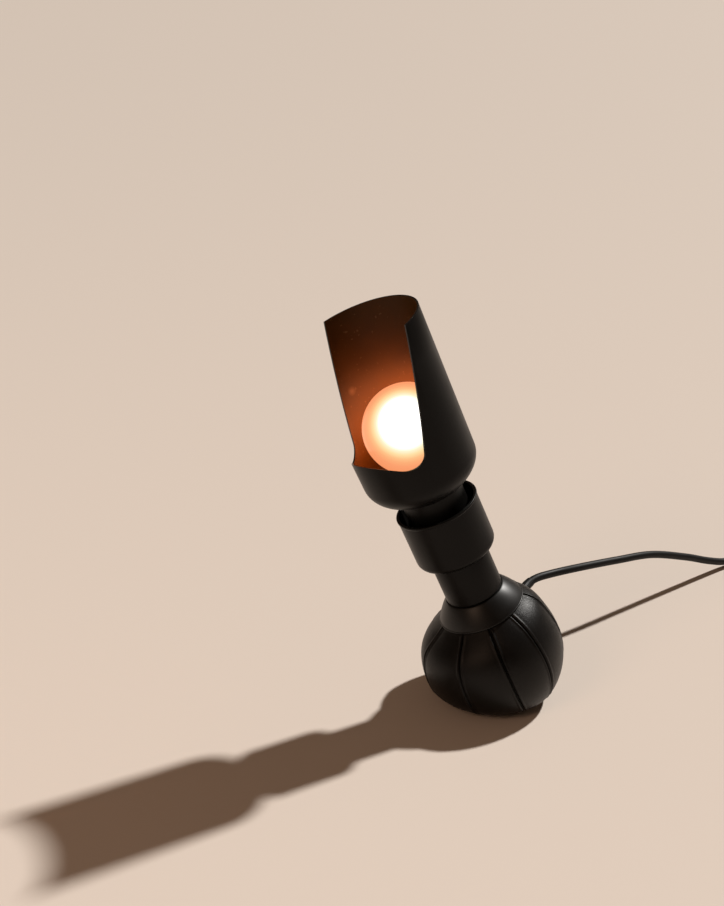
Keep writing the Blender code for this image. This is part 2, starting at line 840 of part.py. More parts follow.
def washers():
    """Fibre washer under the reflector's neck and dished spring washer over its floor."""
    outline = [
        (TUBE_HOLE, FIBRE_BASE),
        (FIBRE_WASHER_RADIUS, FIBRE_BASE),
        (FIBRE_WASHER_RADIUS, FIBRE_BASE + FIBRE_WASHER_THICKNESS),
        (TUBE_HOLE, FIBRE_BASE + FIBRE_WASHER_THICKNESS),
    ]
    place("friction_washer", revolve(outline, 24), fibre_look, STAND)
    outline = [
        (TUBE_HOLE, SPRING_BASE + SPRING_WASHER_DISH),
        (SPRING_WASHER_RADIUS, SPRING_BASE),
        (SPRING_WASHER_RADIUS, SPRING_BASE + SPRING_WASHER_THICKNESS),
        (TUBE_HOLE, SPRING_BASE + SPRING_WASHER_THICKNESS + SPRING_WASHER_DISH),
    ]
    place("spring_washer", revolve(outline, 24), steel_look, STAND)


# Reflector
def reflector():
    """Spun shell with a round bowl, its upper half cut away on a slant."""
    outside = [(TUBE_HOLE, NECK_BASE, 0), (NECK_RADIUS, NECK_BASE, NECK_FILLET)]
    inside = [
        (TUBE_HOLE, NECK_BASE + SHELL_WALL, 0),
        (NECK_RADIUS - SHELL_WALL, NECK_BASE + SHELL_WALL, NECK_FILLET - SHELL_WALL),
    ]
    for wall, side in ((0, outside), (SHELL_WALL, inside)):
        lowest = math.acos((NECK_RADIUS - wall) / (BOWL_RADIUS - wall))
        for step in range(BOWL_STEPS + 1):
            angle = lowest * (1 - step / BOWL_STEPS)
            side.append(
                (
                    (BOWL_RADIUS - wall) * math.cos(angle),
                    BOWL_TOP - (BOWL_DEPTH - wall) * math.sin(angle),
                    0,
                )
            )
    outside.append((RIM_RADIUS, RIM_HEIGHT, SHELL_WALL / 3))
    inside.append((RIM_RADIUS - SHELL_WALL, RIM_HEIGHT, SHELL_WALL / 3))
    shell = revolve(rounded(outside + inside[::-1], 2), 46)
    piece = place("reflector", shell, paint_look, STAND)
    frame = STAND @ Matrix.Rotation(math.radians(OPENING_DEGREES), 4, "Z")
    cut(piece, opening_cutter(), "reflector_opening", frame)


def opening_cutter():
    """Prism that takes the opening out of the reflector; +X is the way it faces."""
    top = RIM_HEIGHT + BOWL_RADIUS
    corner = CUT_SLOPE_SHARE * (CUT_CROSSING - CUT_CORNER_HEIGHT)
    outline = rounded(
        [
            (CUT_SLOPE_SHARE * (CUT_CROSSING - top), top, 0),
            (corner, CUT_CORNER_HEIGHT, CUT_CORNER_FILLET),
            (CUT_REACH, CUT_CORNER_HEIGHT + CUT_FLOOR_SHARE * (CUT_REACH - corner), 0),
            (CUT_REACH, top, 0),
        ],
        5,
    )
    return loft([[Vector((x, y, z)) for x, z in outline] for y in (-CUT_REACH, CUT_REACH)])


# Lampholder and bulb
def lampholder():
    """Body, insulating core, screw shell, contact and wires."""
    inner = HOLDER_RADIUS - HOLDER_WALL
    outline = rounded(
        [
            (TUBE_HOLE + GAP, 0, 0),
            (HOLDER_RADIUS, 0, HOLDER_CHAMFER),
            (HOLDER_RADIUS, HOLDER_LENGTH, HOLDER_WALL / 3),
            (inner, HOLDER_LENGTH, HOLDER_WALL / 3),
            (inner, HOLDER_FLOOR, 0),
            (TUBE_HOLE + GAP, HOLDER_FLOOR, 0),
        ],
        2,
    )
    place("lampholder_body", revolve(outline, 24), plastic_look, HOLDER)
    core = rod(CORE_RADIUS, CORE_BASE, CORE_BASE + CORE_THICKNESS, 24)
    place("lampholder_core", core, ceramic_look, HOLDER)
    outline = [
        (SHELL_RING_RADIUS - SHELL_RING_WALL, CONTACT_BASE),
        (SHELL_RING_RADIUS, CONTACT_BASE),
        (SHELL_RING_RADIUS, CONTACT_BASE + SHELL_RING_LENGTH),
        (SHELL_RING_RADIUS - SHELL_RING_WALL, CONTACT_BASE + SHELL_RING_LENGTH),
    ]
    place("screw_shell", revolve(outline, 24), brass_look, HOLDER)
    contact = rod(CONTACT_RADIUS, CONTACT_BASE, CONTACT_BASE + CONTACT_THICKNESS, 16)
    place("centre_contact", contact, brass_look, HOLDER)
    for name, side in (("wire_live", 1), ("wire_neutral", -1)):
        low, high = HOLDER_FLOOR + GAP, CORE_BASE - GAP
        foot, head = side * WIRE_FOOT_SPREAD, side * WIRE_SPREAD
        route = [
            Vector((foot, 0, low)),
            Vector((foot, 0, low + WIRE_RADIUS)),
            Vector((head, 0, high - WIRE_RADIUS)),
            Vector((head, 0, high)),
        ]
        wire = cord_tube(name, spline_points(route, WIRE_RADIUS), WIRE_RADIUS, brass_look, 1)
        wire.matrix_world = HOLDER


def bulb():
    """Round opal bulb with an open-necked glass, threaded cap and contact."""
    outside = [(BULB_MOUTH_RADIUS, GLASS_BASE)]
    inside = [(BULB_MOUTH_RADIUS - BULB_WALL, GLASS_BASE)]
    steps = 10
    for radius, side in ((BULB_RADIUS, outside), (BULB_RADIUS - BULB_WALL, inside)):
        for step in range(steps + 1):
            angle = BULB_TANGENT * (1 - step / steps)
            side.append((radius * math.sin(angle), BULB_CENTRE + radius * math.cos(angle)))
    outside[-1] = (0, outside[-1][1])
    inside[-1] = (0, inside[-1][1])
    place("bulb_glass", revolve_open(outside + inside[::-1], 28), glass_look, HOLDER)
    outline = [(0, CAP_BASE), (CAP_RADIUS - CAP_THREAD, CAP_BASE)]
    ridge = CAP_LENGTH / (2 * CAP_THREAD_TURNS + 1)
    for step in range(2 * CAP_THREAD_TURNS):
        radius = CAP_RADIUS if step % 2 == 0 else CAP_RADIUS - CAP_THREAD
        outline.append((radius, CAP_BASE + ridge * (step + 1)))
    outline += [(CAP_RADIUS, CAP_BASE + CAP_LENGTH), (0, CAP_BASE + CAP_LENGTH)]
    place("bulb_cap", revolve(outline, 20), steel_look, HOLDER)
    tip = rounded(
        [
            (0, TIP_BASE, 0),
            (TIP_RADIUS, TIP_BASE, TIP_RADIUS / 3),
            (TIP_RADIUS, TIP_BASE + TIP_LENGTH, 0),
            (0, TIP_BASE + TIP_LENGTH, 0),
        ],
        2,
    )
    place("bulb_tip", revolve(tip, 16), brass_look, HOLDER)


def revolve_open(chain, segments):
    """Turns a closed chain whose two middle points lie on the axis, apart from each other."""
    half = len(chain) // 2
    bm = bmesh.new()
    rings = []
    for x, z in chain:
        if x == 0:
            rings.append([bm.verts.new((0, 0, z))])
            continue
        ring = []
        for step in range(segments):
            angle = 2 * math.pi * step / segments
            ring.append(bm.verts.new((x * math.cos(angle), x * math.sin(angle), z)))
        rings.append(ring)
    for first, second in zip(rings[: half - 1], rings[1 : half - 1]):
        skin(bm, first, second)
    for first, second in zip(rings[half + 1 :], rings[half + 2 :]):
        skin(bm, first, second)
    skin(bm, rings[-1], rings[0])
    for tip, ring in ((rings[half - 1], rings[half - 2]), (rings[half], rings[half + 1])):
        for index in range(segments):
            bm.faces.new((ring[index], ring[(index + 1) % segments], tip[0]))
    return bm


# Cord from the leather to the plug
def exit_matrix():
    """Frame at the cord's exit, with +Z out of the leather."""
    turn = EXIT_NORMAL.to_track_quat("Z", "Y").to_matrix().to_4x4()
    return Matrix.Translation(EXIT_POINT) @ turn


def cord_relief(points):
    """Grommet in the leather that runs out into a tapered relief along the cord."""
    inward = grommet_depth()
    stations = [
        (-inward - RELIEF_FLANGE_THICKNESS, RELIEF_FLANGE_RADIUS * RELIEF_EDGE_SHARE),
        (-inward - RELIEF_FLANGE_THICKNESS / 2, RELIEF_FLANGE_RADIUS),
        (-inward, RELIEF_FLANGE_RADIUS),
        (-inward + GAP / 2, RELIEF_NECK_RADIUS),
        (SEAM_SINK, RELIEF_NECK_RADIUS),
        (SEAM_SINK + GAP / 2, RELIEF_FLANGE_RADIUS),
        (SEAM_SINK + RELIEF_FLANGE_THICKNESS / 2, RELIEF_FLANGE_RADIUS),
        (SEAM_SINK + RELIEF_FLANGE_THICKNESS, RELIEF_FLANGE_RADIUS * RELIEF_EDGE_SHARE),
        (SEAM_SINK + RELIEF_FLANGE_THICKNESS + GAP, RELIEF_BASE_RADIUS),
    ]
    steps = 6
    first = stations[-1][0]
    for step in range(1, steps + 1):
        share = step / steps
        taper = share**RELIEF_TAPER_SHARE
        radius = RELIEF_BASE_RADIUS + (RELIEF_TIP_RADIUS - RELIEF_BASE_RADIUS) * taper
        stations.append((first + (RELIEF_LENGTH - first) * share, radius))
    rings = []
    sides = 16
    side = EXIT_NORMAL.orthogonal().normalized()
    for distance, radius in stations:
        middle, along = on_route(points, distance)
        side = (side - along * side.dot(along)).normalized()
        over = along.cross(side)
        turns = [2 * math.pi * k / sides for k in range(sides)]
        rings.append(
            [middle + radius * (side * math.cos(turn) + over * math.sin(turn)) for turn in turns]
        )
    place("cord_relief", loft(rings), rubber_look)


def grommet_depth():
    """How far in the grommet's inner flange starts, clear of the round leather."""
    return LEATHER + RELIEF_FLANGE_RADIUS**2 / (2 * BAG_RADIUS) + 2.5 * GAP


def on_route(points, distance):
    """Point and direction at a distance along the cord; before its start it runs straight."""
    if distance <= 0:
        return EXIT_POINT + EXIT_NORMAL * distance, EXIT_NORMAL
    walked = 0.0
    for a, b in zip(points, points[1:]):
        span = (b - a).length
        if walked + span >= distance:
            return a.lerp(b, (distance - walked) / span), (b - a).normalized()
        walked += span
    return points[-1], (points[-1] - points[-2]).normalized()


def coil_points():
    """Spare cord wound in and out in layers, climbing where the spiral reverses."""
    points = []
    angle = 0.0
    radius = COIL_OUTER_RADIUS
    height = COIL_LOW
    inward = True
    turn = 2 * math.pi / TURN_STEPS

    def add():
        points.append(
            Vector(
                (
                    COIL_CENTRE[0] + radius * math.cos(angle),
                    COIL_CENTRE[1] + radius * math.sin(angle),
                    height,
                )
            )
        )

    add()
    for layer in range(COIL_LAYER_COUNT):
        turns = COIL_LAST_TURN_COUNT if layer == COIL_LAYER_COUNT - 1 else COIL_TURN_COUNT
        for step in range(round(turns * TURN_STEPS)):
            angle -= turn
            radius += (-1 if inward else 1) * COIL_PITCH / TURN_STEPS
            add()
        if layer == COIL_LAYER_COUNT - 1:
            break
        climb = TURN_STEPS // 2
        base = height
        for step in range(1, climb + 1):
            angle -= turn
            first_half = step <= climb // 2
            radius += (-1 if inward == first_half else 1) * COIL_PITCH / TURN_STEPS
            height = base + COIL_PITCH * smooth_share(step / climb, 0, 1)
            add()
        inward = not inward
    return points


def least_gap(points, diameter):
    """Smallest gap between windings that are more than a quarter turn apart."""
    least = math.inf
    apart = TURN_STEPS // 4
    for index, point in enumerate(points):
        for other in points[index + apart :]:
            least = min(least, (other - point).length - diameter)
    return least


def supply_route():
    """Even points along the cord from the leather to the switch."""
    start = [EXIT_POINT, EXIT_POINT + EXIT_NORMAL * EXIT_STRAIGHT]
    return spline_points([*start, *CORD_ROUTE], CORD_STEP / 6)


def supply_cord(route):
    """Cord between its strain relief and the switch."""
    start = RELIEF_LENGTH + GAP
    shown = cut_route(route, start, route_length(route) - start)
    shown = spline_points(shown[::6] + [shown[-1]], CORD_STEP)
    cord_tube("supply_cord", shown, CORD_RADIUS, rubber_look)


def inner_lead():
    """Cord inside the bag, from its grommet to the foot of the threaded tube."""
    inside = EXIT_POINT - EXIT_NORMAL * (grommet_depth() + RELIEF_FLANGE_THICKNESS + GAP)
    straight = inside - EXIT_NORMAL * CORD_RADIUS * 1.5
    below = STAND @ Vector((0, 0, TUBE_START - 2 * GAP - CORD_RADIUS * 2))
    middle = [
        straight.lerp(below, share) - Vector((0, 0, CORD_RADIUS * INNER_SAG_SHARE))
        for share in INNER_SHARES
    ]
    route = [inside, straight, *middle, below, TUBE_FOOT]
    cord_tube("inner_lead", spline_points(route, CORD_RADIUS * 1.5), CORD_RADIUS, rubber_look)


def riser_lead():
    """Cord up through the threaded tube."""
    riser = [Vector((0, 0, TUBE_START)), Vector((0, 0, TUBE_END))]
    piece = cord_tube("riser_lead", riser, CORD_RADIUS, rubber_look)
    piece.matrix_world = STAND


def switch_lead_route():
    """Points from the switch round a bend and down to the coil."""
    end = SWITCH_START + Vector((SWITCH_LENGTH + GAP, 0, 0))
    turn_x = COIL_CENTRE[0] + COIL_OUTER_RADIUS
    lead = [end, end + Vector((CORD_RADIUS * 2, 0, 0))]
    bends = 5
    for step in range(1, bends + 1):
        angle = math.pi / 2 * (1 - step / bends)
        fall = smooth_share(step / bends, 0, 1)
        x = turn_x - LEAD_BEND + LEAD_BEND * math.cos(angle)
        y = end.y - LEAD_BEND + LEAD_BEND * math.sin(angle)
        lead.append(Vector((x, y, end.z + (COIL_LOW - end.z) * fall)))
    for away in (CORD_RADIUS * 2, 2 * GAP):
        lead.append(Vector((turn_x, COIL_CENTRE[1] + away, COIL_LOW)))
    return spline_points(lead, CORD_STEP)


def plug_lead_route(last):
    """Points from the coil's last winding down to the plug."""
    end = PLUG_FRONT + Vector((GAP, 0, 0))
    drop = last - end
    tail = [last - Vector((2 * GAP, 0, 0)), last - Vector((CORD_RADIUS * 3, 0, 0))]
    for share in LEAD_SHARES:
        fall = smooth_share(share, *LEAD_FALL_SHARES)
        tail.append(Vector((last.x - drop.x * share, last.y, last.z - drop.z * fall)))
    tail += [end + Vector((CORD_RADIUS * 2, 0, 0)), end]
    return spline_points(tail, CORD_STEP)


def cords():
    """Every stretch of the mains cord, the coil and the tie."""
    route = supply_route()
    cord_relief(route)
    supply_cord(route)
    inner_lead()
    riser_lead()
    lead = switch_lead_route()
    cord_tube("switch_lead", lead, CORD_RADIUS, rubber_look)
    coil = coil_points()
    cord_tube("cord_coil", coil, CORD_RADIUS, rubber_look, 1)
    tail = plug_lead_route(coil[-1])
    cord_tube("plug_lead", tail, CORD_RADIUS, rubber_look)
    cord_tie()
    print("coil gap mm", round(least_gap(coil, 2 * CORD_RADIUS) * 1000, 3))
    total = SWITCH_LENGTH + sum(map(route_length, (route, lead, coil, tail)))
    print("cord length m", round(total, 3))


def cord_tie():
    """Flat strap round the bundle of windings."""
    low = COIL_LOW - CORD_RADIUS - GAP - TIE_THICKNESS
    high = COIL_HIGH + CORD_RADIUS + GAP + TIE_THICKNESS
    near = COIL_INNER_RADIUS - COIL_PITCH / 4 - CORD_RADIUS - TIE_SLACK - TIE_THICKNESS
    far = COIL_OUTER_RADIUS + COIL_PITCH / 4 + CORD_RADIUS + TIE_SLACK + TIE_THICKNESS
    outer, inner = [
        rounded(
            [
                (near + inset, low + inset, TIE_CORNER - inset),
                (far - inset, low + inset, TIE_CORNER - inset),
                (far - inset, high - inset, TIE_CORNER - inset),
                (near + inset, high - inset, TIE_CORNER - inset),
            ]
        )
        for inset in (0, TIE_THICKNESS)
    ]
    bm = bmesh.new()
    rings = []
    for outline, side in ((outer, -1), (inner, -1), (inner, 1), (outer, 1)):
        rings.append([bm.verts.new((x, side * TIE_WIDTH / 2, z)) for x, z in outline])
    for first, second in zip(rings, rings[1:] + rings[:1]):
        skin(bm, first, second)
    frame = Matrix.Translation((*COIL_CENTRE, 0)) @ Matrix.Rotation(
        math.radians(TIE_DEGREES), 4, "Z"
    )
    place("cord_tie", bm, plastic_look, frame, False)


# Switch on the cord
def switch():
    """Two housing halves, rocker and the screws that join them."""
    middle_y, middle_z = SWITCH_START.y, SWITCH_START.z
    for name, upper in (("switch_base", False), ("switch_cover", True)):
        bm = switch_block(middle_y, middle_z)
        split = middle_z + (GAP / 2 if upper else -GAP / 2)
        cut_result = bmesh.ops.bisect_plane(
            bm,
            geom=bm.verts[:] + bm.edges[:] + bm.faces[:],
            plane_co=(0, 0, split),
            plane_no=(0, 0, 1),
            clear_inner=upper,
            clear_outer=not upper,
        )
        rim = [e for e in cut_result["geom_cut"] if isinstance(e, bmesh.types.BMEdge)]
        bmesh.ops.edgeloop_fill(bm, edges=rim)
        piece = place(name, bm, plastic_look)
        if upper:
            cut(piece, rocker_well(), "rocker_well")
        else:
            for index, frame in enumerate(screw_frames()):
                hole = rod(SCREW_HEAD_RADIUS + GAP, -SCREW_HEAD_THICKNESS, screw_depth() + GAP, 16)
                cut(piece, hole, f"screw_hole_{index + 1}", frame)
    rocker()
    for index, frame in enumerate(screw_frames()):
        screw = place(
            f"switch_screw_{index + 1}",
            rod(SCREW_HEAD_RADIUS, SCREW_SINK, screw_depth(), 16),
            steel_look,
            frame,
        )
        slot = block(SCREW_HEAD_RADIUS * 2, SCREW_SLOT_WIDTH / 2, 0, SCREW_SINK + SCREW_SLOT_DEPTH)
        cut(screw, slot, f"screw_slot_{index + 1}", frame)


def switch_block(middle_y, middle_z):
    """Rounded housing, slimmer at both cord ends."""
    far_end = [(1 - along, wide, high) for along, wide, high in SWITCH_SHARES[::-1]]
    rings = []
    for along, wide, high in [*SWITCH_SHARES, *far_end]:
        x = SWITCH_START.x + SWITCH_LENGTH * along
        half_width, half_height = SWITCH_WIDTH * wide / 2, SWITCH_HEIGHT * high / 2
        rings.append(rounded_ring(x, middle_y, middle_z, half_width, half_height))
    return loft(rings)


def block(half_x, half_y, low, high):
    """Plain block about the Z axis."""
    ring = [(-half_x, -half_y), (half_x, -half_y), (half_x, half_y), (-half_x, half_y)]
    return loft([[Vector((x, y, z)) for x, y in ring] for z in (low, high)])


def rocker_well():
    """Opening in the cover for the rocker."""
    bm = block(
        ROCKER_RADIUS + ROCKER_CLEARANCE,
        ROCKER_HALF_WIDTH + ROCKER_CLEARANCE,
        0,
        SWITCH_HEIGHT,
    )
    middle_z = SWITCH_START.z - GAP
    bmesh.ops.translate(bm, vec=(SWITCH_MIDDLE, SWITCH_START.y, middle_z), verts=bm.verts)
    return bm


def rocker():
    """Rocker with round ends that keep clear of its well as it tips."""
    low = -math.asin(ROCKER_UNDER / ROCKER_RADIUS)
    high = math.asin(ROCKER_END / ROCKER_RADIUS)
    outline = []
    steps = 4
    for step in range(steps + 1):
        angle = low + (high - low) * step / steps
        outline.append((ROCKER_RADIUS * math.cos(angle), ROCKER_RADIUS * math.sin(angle)))
    outline.append((0, ROCKER_MIDDLE))
    for step in range(steps + 1):
        angle = high + (low - high) * step / steps
        outline.append((-ROCKER_RADIUS * math.cos(angle), ROCKER_RADIUS * math.sin(angle)))
    bm = loft(
        [
            [Vector((x, side * ROCKER_HALF_WIDTH, z)) for x, z in outline]
            for side in (-1, 1)
        ]
    )
    frame = ROCKER_FRAME @ Matrix.Rotation(math.radians(ROCKER_TILT_DEGREES), 4, "Y")
    place("switch_rocker", bm, plastic_look, frame, False)


def screw_frames():
    """Places of the two screws under the switch."""
    return [
        Matrix.Translation((SWITCH_MIDDLE + side * SCREW_SPACING / 2, SWITCH_START.y, 0))
        for side in (-1, 1)
    ]


def screw_depth():
    """Height of the screw heads' upper face."""
    return SWITCH_START.z - SWITCH_HEIGHT / 2 + SCREW_SINK + SCREW_HEAD_THICKNESS


# Plug
def plug():
    """Flat two-pin plug with half-sleeved pins."""
    x, y, z = PLUG_FRONT
    rings = []
    for along, wide, high in PLUG_SHARES:
        half_width, half_height = PLUG_WIDTH * wide / 2, PLUG_THICKNESS * high / 2
        rings.append(rounded_ring(x - along * PLUG_BODY_LENGTH, y, z, half_width, half_height))
    body = place("plug_body", loft(rings), plastic_look)
    for index, side in enumerate((-1, 1)):
        frame = Matrix.Translation(
            (x - PLUG_BODY_LENGTH, y + side * PIN_SPREAD, z)
        ) @ Matrix.Rotation(-math.pi / 2, 4, "Y")
        hole = rod(PIN_RADIUS + GAP, -PIN_ROOT - GAP, PIN_ROOT, 16)
        cut(body, hole, f"pin_hole_{index + 1}", frame)
        outline = rounded(
            [
                (0, -PIN_ROOT, 0),
                (PIN_SLEEVE_RADIUS, -PIN_ROOT, 0),
                (PIN_SLEEVE_RADIUS, PIN_SLEEVE_LENGTH, 0),
                (PIN_RADIUS, PIN_SLEEVE_LENGTH, 0),
                (PIN_RADIUS, PIN_LENGTH, PIN_RADIUS / 2),
                (0, PIN_LENGTH, 0),
            ],
            2,
        )
        place(f"plug_pin_{index + 1}", revolve(outline, 16), steel_look, frame)


clear_scene()
bag()
collar()
clamp()
threaded_tube()
stem()
cup()
washers()
reflector()
lampholder()
bulb()
cords()
switch()
plug()
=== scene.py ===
"""Table lamp: looks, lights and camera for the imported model."""
import math

import bmesh
import bpy
import numpy as np
from mathutils import Matrix, Vector


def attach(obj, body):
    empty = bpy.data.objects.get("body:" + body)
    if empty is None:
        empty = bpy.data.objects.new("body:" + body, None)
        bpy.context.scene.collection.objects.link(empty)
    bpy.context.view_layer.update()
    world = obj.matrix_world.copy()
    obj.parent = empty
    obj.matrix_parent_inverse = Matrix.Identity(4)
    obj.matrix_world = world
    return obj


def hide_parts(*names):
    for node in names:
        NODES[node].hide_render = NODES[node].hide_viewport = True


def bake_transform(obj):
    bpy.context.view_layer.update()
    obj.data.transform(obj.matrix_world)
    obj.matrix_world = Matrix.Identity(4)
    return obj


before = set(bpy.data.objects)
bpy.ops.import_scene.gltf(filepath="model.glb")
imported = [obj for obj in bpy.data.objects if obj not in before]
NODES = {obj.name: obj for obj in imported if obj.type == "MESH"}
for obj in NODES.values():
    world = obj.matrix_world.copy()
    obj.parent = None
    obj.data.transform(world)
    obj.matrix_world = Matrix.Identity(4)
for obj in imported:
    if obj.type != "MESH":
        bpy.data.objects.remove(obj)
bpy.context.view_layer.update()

# Sizes that part.py gives too, in metres
GAP = 0.0003

# Leather bag
BAG_RADIUS = 0.0338
BAG_CENTRE = 0.0220
TOP_SHARE = 0.982
PIVOT_OFFSET = 0.00456
LEAN_DEGREES = 23.4
OPENING_RADIUS = 0.0064
PATCH_RADIUS = 0.0100
PATCH_CENTRE = 0.0065
SEAT_END = math.radians(41)
BALL_START = math.radians(68)
SEAM_DEGREES = (-137.5, -101.0, -66.0, -20.0, 29.9, 79.8, 129.7, 179.6)

# Collar, stem and cup
TUBE_HOLE = 0.0053
COLLAR_RADIUS = 0.0203
COLLAR_LIP = 0.0004
COLLAR_SHOULDER = 0.0138
COLLAR_RISE = 0.0090
STEM_RADIUS = 0.0135
STEM_WALL = 0.0012
STEM_FILLET = 0.0008
STEM_HEIGHT = 0.0214
CUP_RADIUS = 0.0188
CUP_WALL = 0.0010
CUP_FILLET = 0.0036
CUP_HEIGHT = 0.0270
CUP_BEAD = 0.0004
FIBRE_WASHER_THICKNESS = 0.0032
SPRING_WASHER_THICKNESS = 0.0008

# Reflector and its opening
NECK_RADIUS = 0.0143
NECK_FILLET = 0.0015
SHELL_WALL = 0.0008
BULB_CLEARANCE = 0.0054
BOWL_DEPTH = 0.0156
BOWL_RISE = 0.0433
RIM_SPREAD = 0.0012
RIM_RISE = 0.0700
OPENING_DEGREES = -153.8
CUT_CROSSING_RISE = 0.1005
CUT_SLOPE_SHARE = 0.269
CUT_CORNER_RISE = 0.0508
CUT_CORNER_FILLET = 0.0063
CUT_FLOOR_SHARE = 0.70
CUT_REACH = 0.0450

# Lampholder and bulb
HOLDER_CLEARANCE = 0.0010
HOLDER_LEAN_DEGREES = 2.3
HOLDER_LEAN_TOWARDS_DEGREES = -16.7
CORE_BASE = 0.0058
CORE_THICKNESS = 0.0026
CONTACT_THICKNESS = 0.0006
TIP_LENGTH = 0.0024
CAP_LENGTH = 0.0122
BULB_RADIUS = 0.0202
BULB_WALL = 0.0010
BULB_NECK_LENGTH = 0.0182
BULB_MOUTH_RADIUS = 0.0084
BULB_TANGENT = math.radians(140)

# Cord, switch, coil and plug
CORD_RADIUS = 0.0020
EXIT_AROUND = math.radians(50.1)
EXIT_UP = math.radians(13.6)
EXIT_STRAIGHT = 0.0078
SWITCH_LENGTH = 0.0560
LEAD_BEND = 0.0180
LEAD_SHARES = (0.42, 0.58, 0.74)
LEAD_FALL_SHARES = (0.30, 0.86)
COIL_CENTRE = (0.2605, 0.0500)
COIL_INNER = 0.0175
COIL_PITCH = 0.00445
COIL_TURNS = 2.25
COIL_LAST = 2.0
COIL_LAYERS = 4
COIL_LOW = 0.0031
PLUG_GAP_TO_COIL = 0.0220
PLUG_CENTRE_HEIGHT = 0.0070

# Places that follow from the sizes above
PIVOT = Vector((PIVOT_OFFSET, 0, BAG_CENTRE))
LEAN_TURN = Matrix.Rotation(-math.radians(LEAN_DEGREES), 3, "Y")
STAND = Matrix.Translation(PIVOT) @ LEAN_TURN.to_4x4()
SEAT = BAG_RADIUS * TOP_SHARE
COLLAR_LOW = math.sqrt((SEAT + GAP) ** 2 - COLLAR_RADIUS**2) + COLLAR_LIP
STEM_BASE = COLLAR_LOW + COLLAR_RISE + GAP
CUP_BASE = STEM_BASE + STEM_HEIGHT + GAP
NECK_BASE = CUP_BASE + CUP_WALL + GAP + FIBRE_WASHER_THICKNESS + GAP
BOWL_RADIUS = BULB_RADIUS + BULB_CLEARANCE + SHELL_WALL
BOWL_TOP = NECK_BASE + BOWL_RISE
RIM_RADIUS = BOWL_RADIUS + RIM_SPREAD
RIM_TOP = BOWL_TOP + RIM_RISE
HOLDER_BASE = NECK_BASE + SHELL_WALL + GAP + SPRING_WASHER_THICKNESS + GAP + HOLDER_CLEARANCE
HOLDER = (
    STAND
    @ Matrix.Translation((0, 0, HOLDER_BASE))
    @ Matrix.Rotation(math.radians(HOLDER_LEAN_TOWARDS_DEGREES), 4, "Z")
    @ Matrix.Rotation(math.radians(HOLDER_LEAN_DEGREES), 4, "Y")
)
CAP_BASE = CORE_BASE + CORE_THICKNESS + GAP + CONTACT_THICKNESS + GAP + TIP_LENGTH + GAP
GLASS_BASE = CAP_BASE + CAP_LENGTH + GAP
BULB_CENTRE = GLASS_BASE + BULB_NECK_LENGTH - BULB_RADIUS * math.cos(BULB_TANGENT)
EXIT_NORMAL = Vector(
    (
        math.cos(EXIT_UP) * math.cos(EXIT_AROUND),
        math.cos(EXIT_UP) * math.sin(EXIT_AROUND),
        math.sin(EXIT_UP),
    )
)
EXIT_POINT = Vector((0, 0, BAG_CENTRE)) + EXIT_NORMAL * BAG_RADIUS
CORD_ROUTE = (
    EXIT_POINT,
    EXIT_POINT + EXIT_NORMAL * EXIT_STRAIGHT,
    (0.0312, 0.0378, 0.0338),
    (0.0380, 0.0423, 0.0355),
    (0.0480, 0.0460, 0.0354),
    (0.0660, 0.0512, 0.0345),
    (0.0920, 0.0610, 0.0312),
    (0.1180, 0.0724, 0.0264),
    (0.1453, 0.0844, 0.0165),
    (0.1640, 0.0925, 0.0085),
    (0.1785, 0.0985, 0.0036),
    (0.1900, 0.1022, 0.0034),
    (0.1975, 0.1037, 0.0053),
    (0.2030, 0.1040, 0.0064),
    (0.2085, 0.1040, 0.0065),
)
SWITCH_END = Vector(CORD_ROUTE[-1]) + Vector((GAP + SWITCH_LENGTH + GAP, 0, 0))
COIL_OUTER = COIL_INNER + COIL_TURNS * COIL_PITCH

# Camera, fitted to the outlines in the photograph
CAMERA_PLACE = (-0.2151, -0.5501, 0.3351)
VIEW_RIGHT = Vector((0.9640, -0.2658, 0)).normalized()
VIEW_FORWARD = Vector((0.2498, 0.9059, -0.3420)).normalized()
VIEW_UP = VIEW_RIGHT.cross(VIEW_FORWARD).normalized()
FOCAL_PIXELS = 1400
PICTURE_HEIGHT = 906
SENSOR = 36

# Fineness of the cords' meshes
CORD_STEP = 0.003
CORD_SIDES = 20
CORD_END_SHARE = 0.86
CORD_END_REACH = 0.25
COIL_STEPS = 48
LEAD_STEPS = 5

# Leather's mesh, its swell and its seams
FOOT_SOFTNESS = 0.0090
FOOT_MARGIN = 0.0015
COLUMN_SHARES = (0, 0.025, 0.07, 0.16, 0.31, 0.5, 0.69, 0.84, 0.93, 0.975)
ARC_ROWS = 22
EDGE_ROWS = 5
FLAT_ROWS = 3
SLACK = 0.0004
MOST_SWELL = 0.0007
CLOTH_FRAMES = 16
CLOTH_PRESSURE = 1500.0
GROOVE_DEPTH = 0.00085
GROOVE_WIDTH = 0.00036
GROOVE_POWER = 1.6
ROLL_DEPTH = 0.00016
ROLL_WIDTH = 0.0022
LIP_HEIGHT = 0.00034
LIP_PLACE = 0.0010
LIP_WIDTH = 0.00045
TUG_DEPTH = 0.00004
TUG_WIDTH = 0.0014
TUG_WAVES = 52
TUG_SHIFT = 2.3
COLLAR_FADE = (0.62, 0.72)
LEAST_SINK = 0.00005
TABLE_NEAR = 0.0004
TABLE_GROOVE_DEPTH = 0.0007
TABLE_GROOVE_WIDTH = 0.0006
LEATHER_WALL = 0.0011

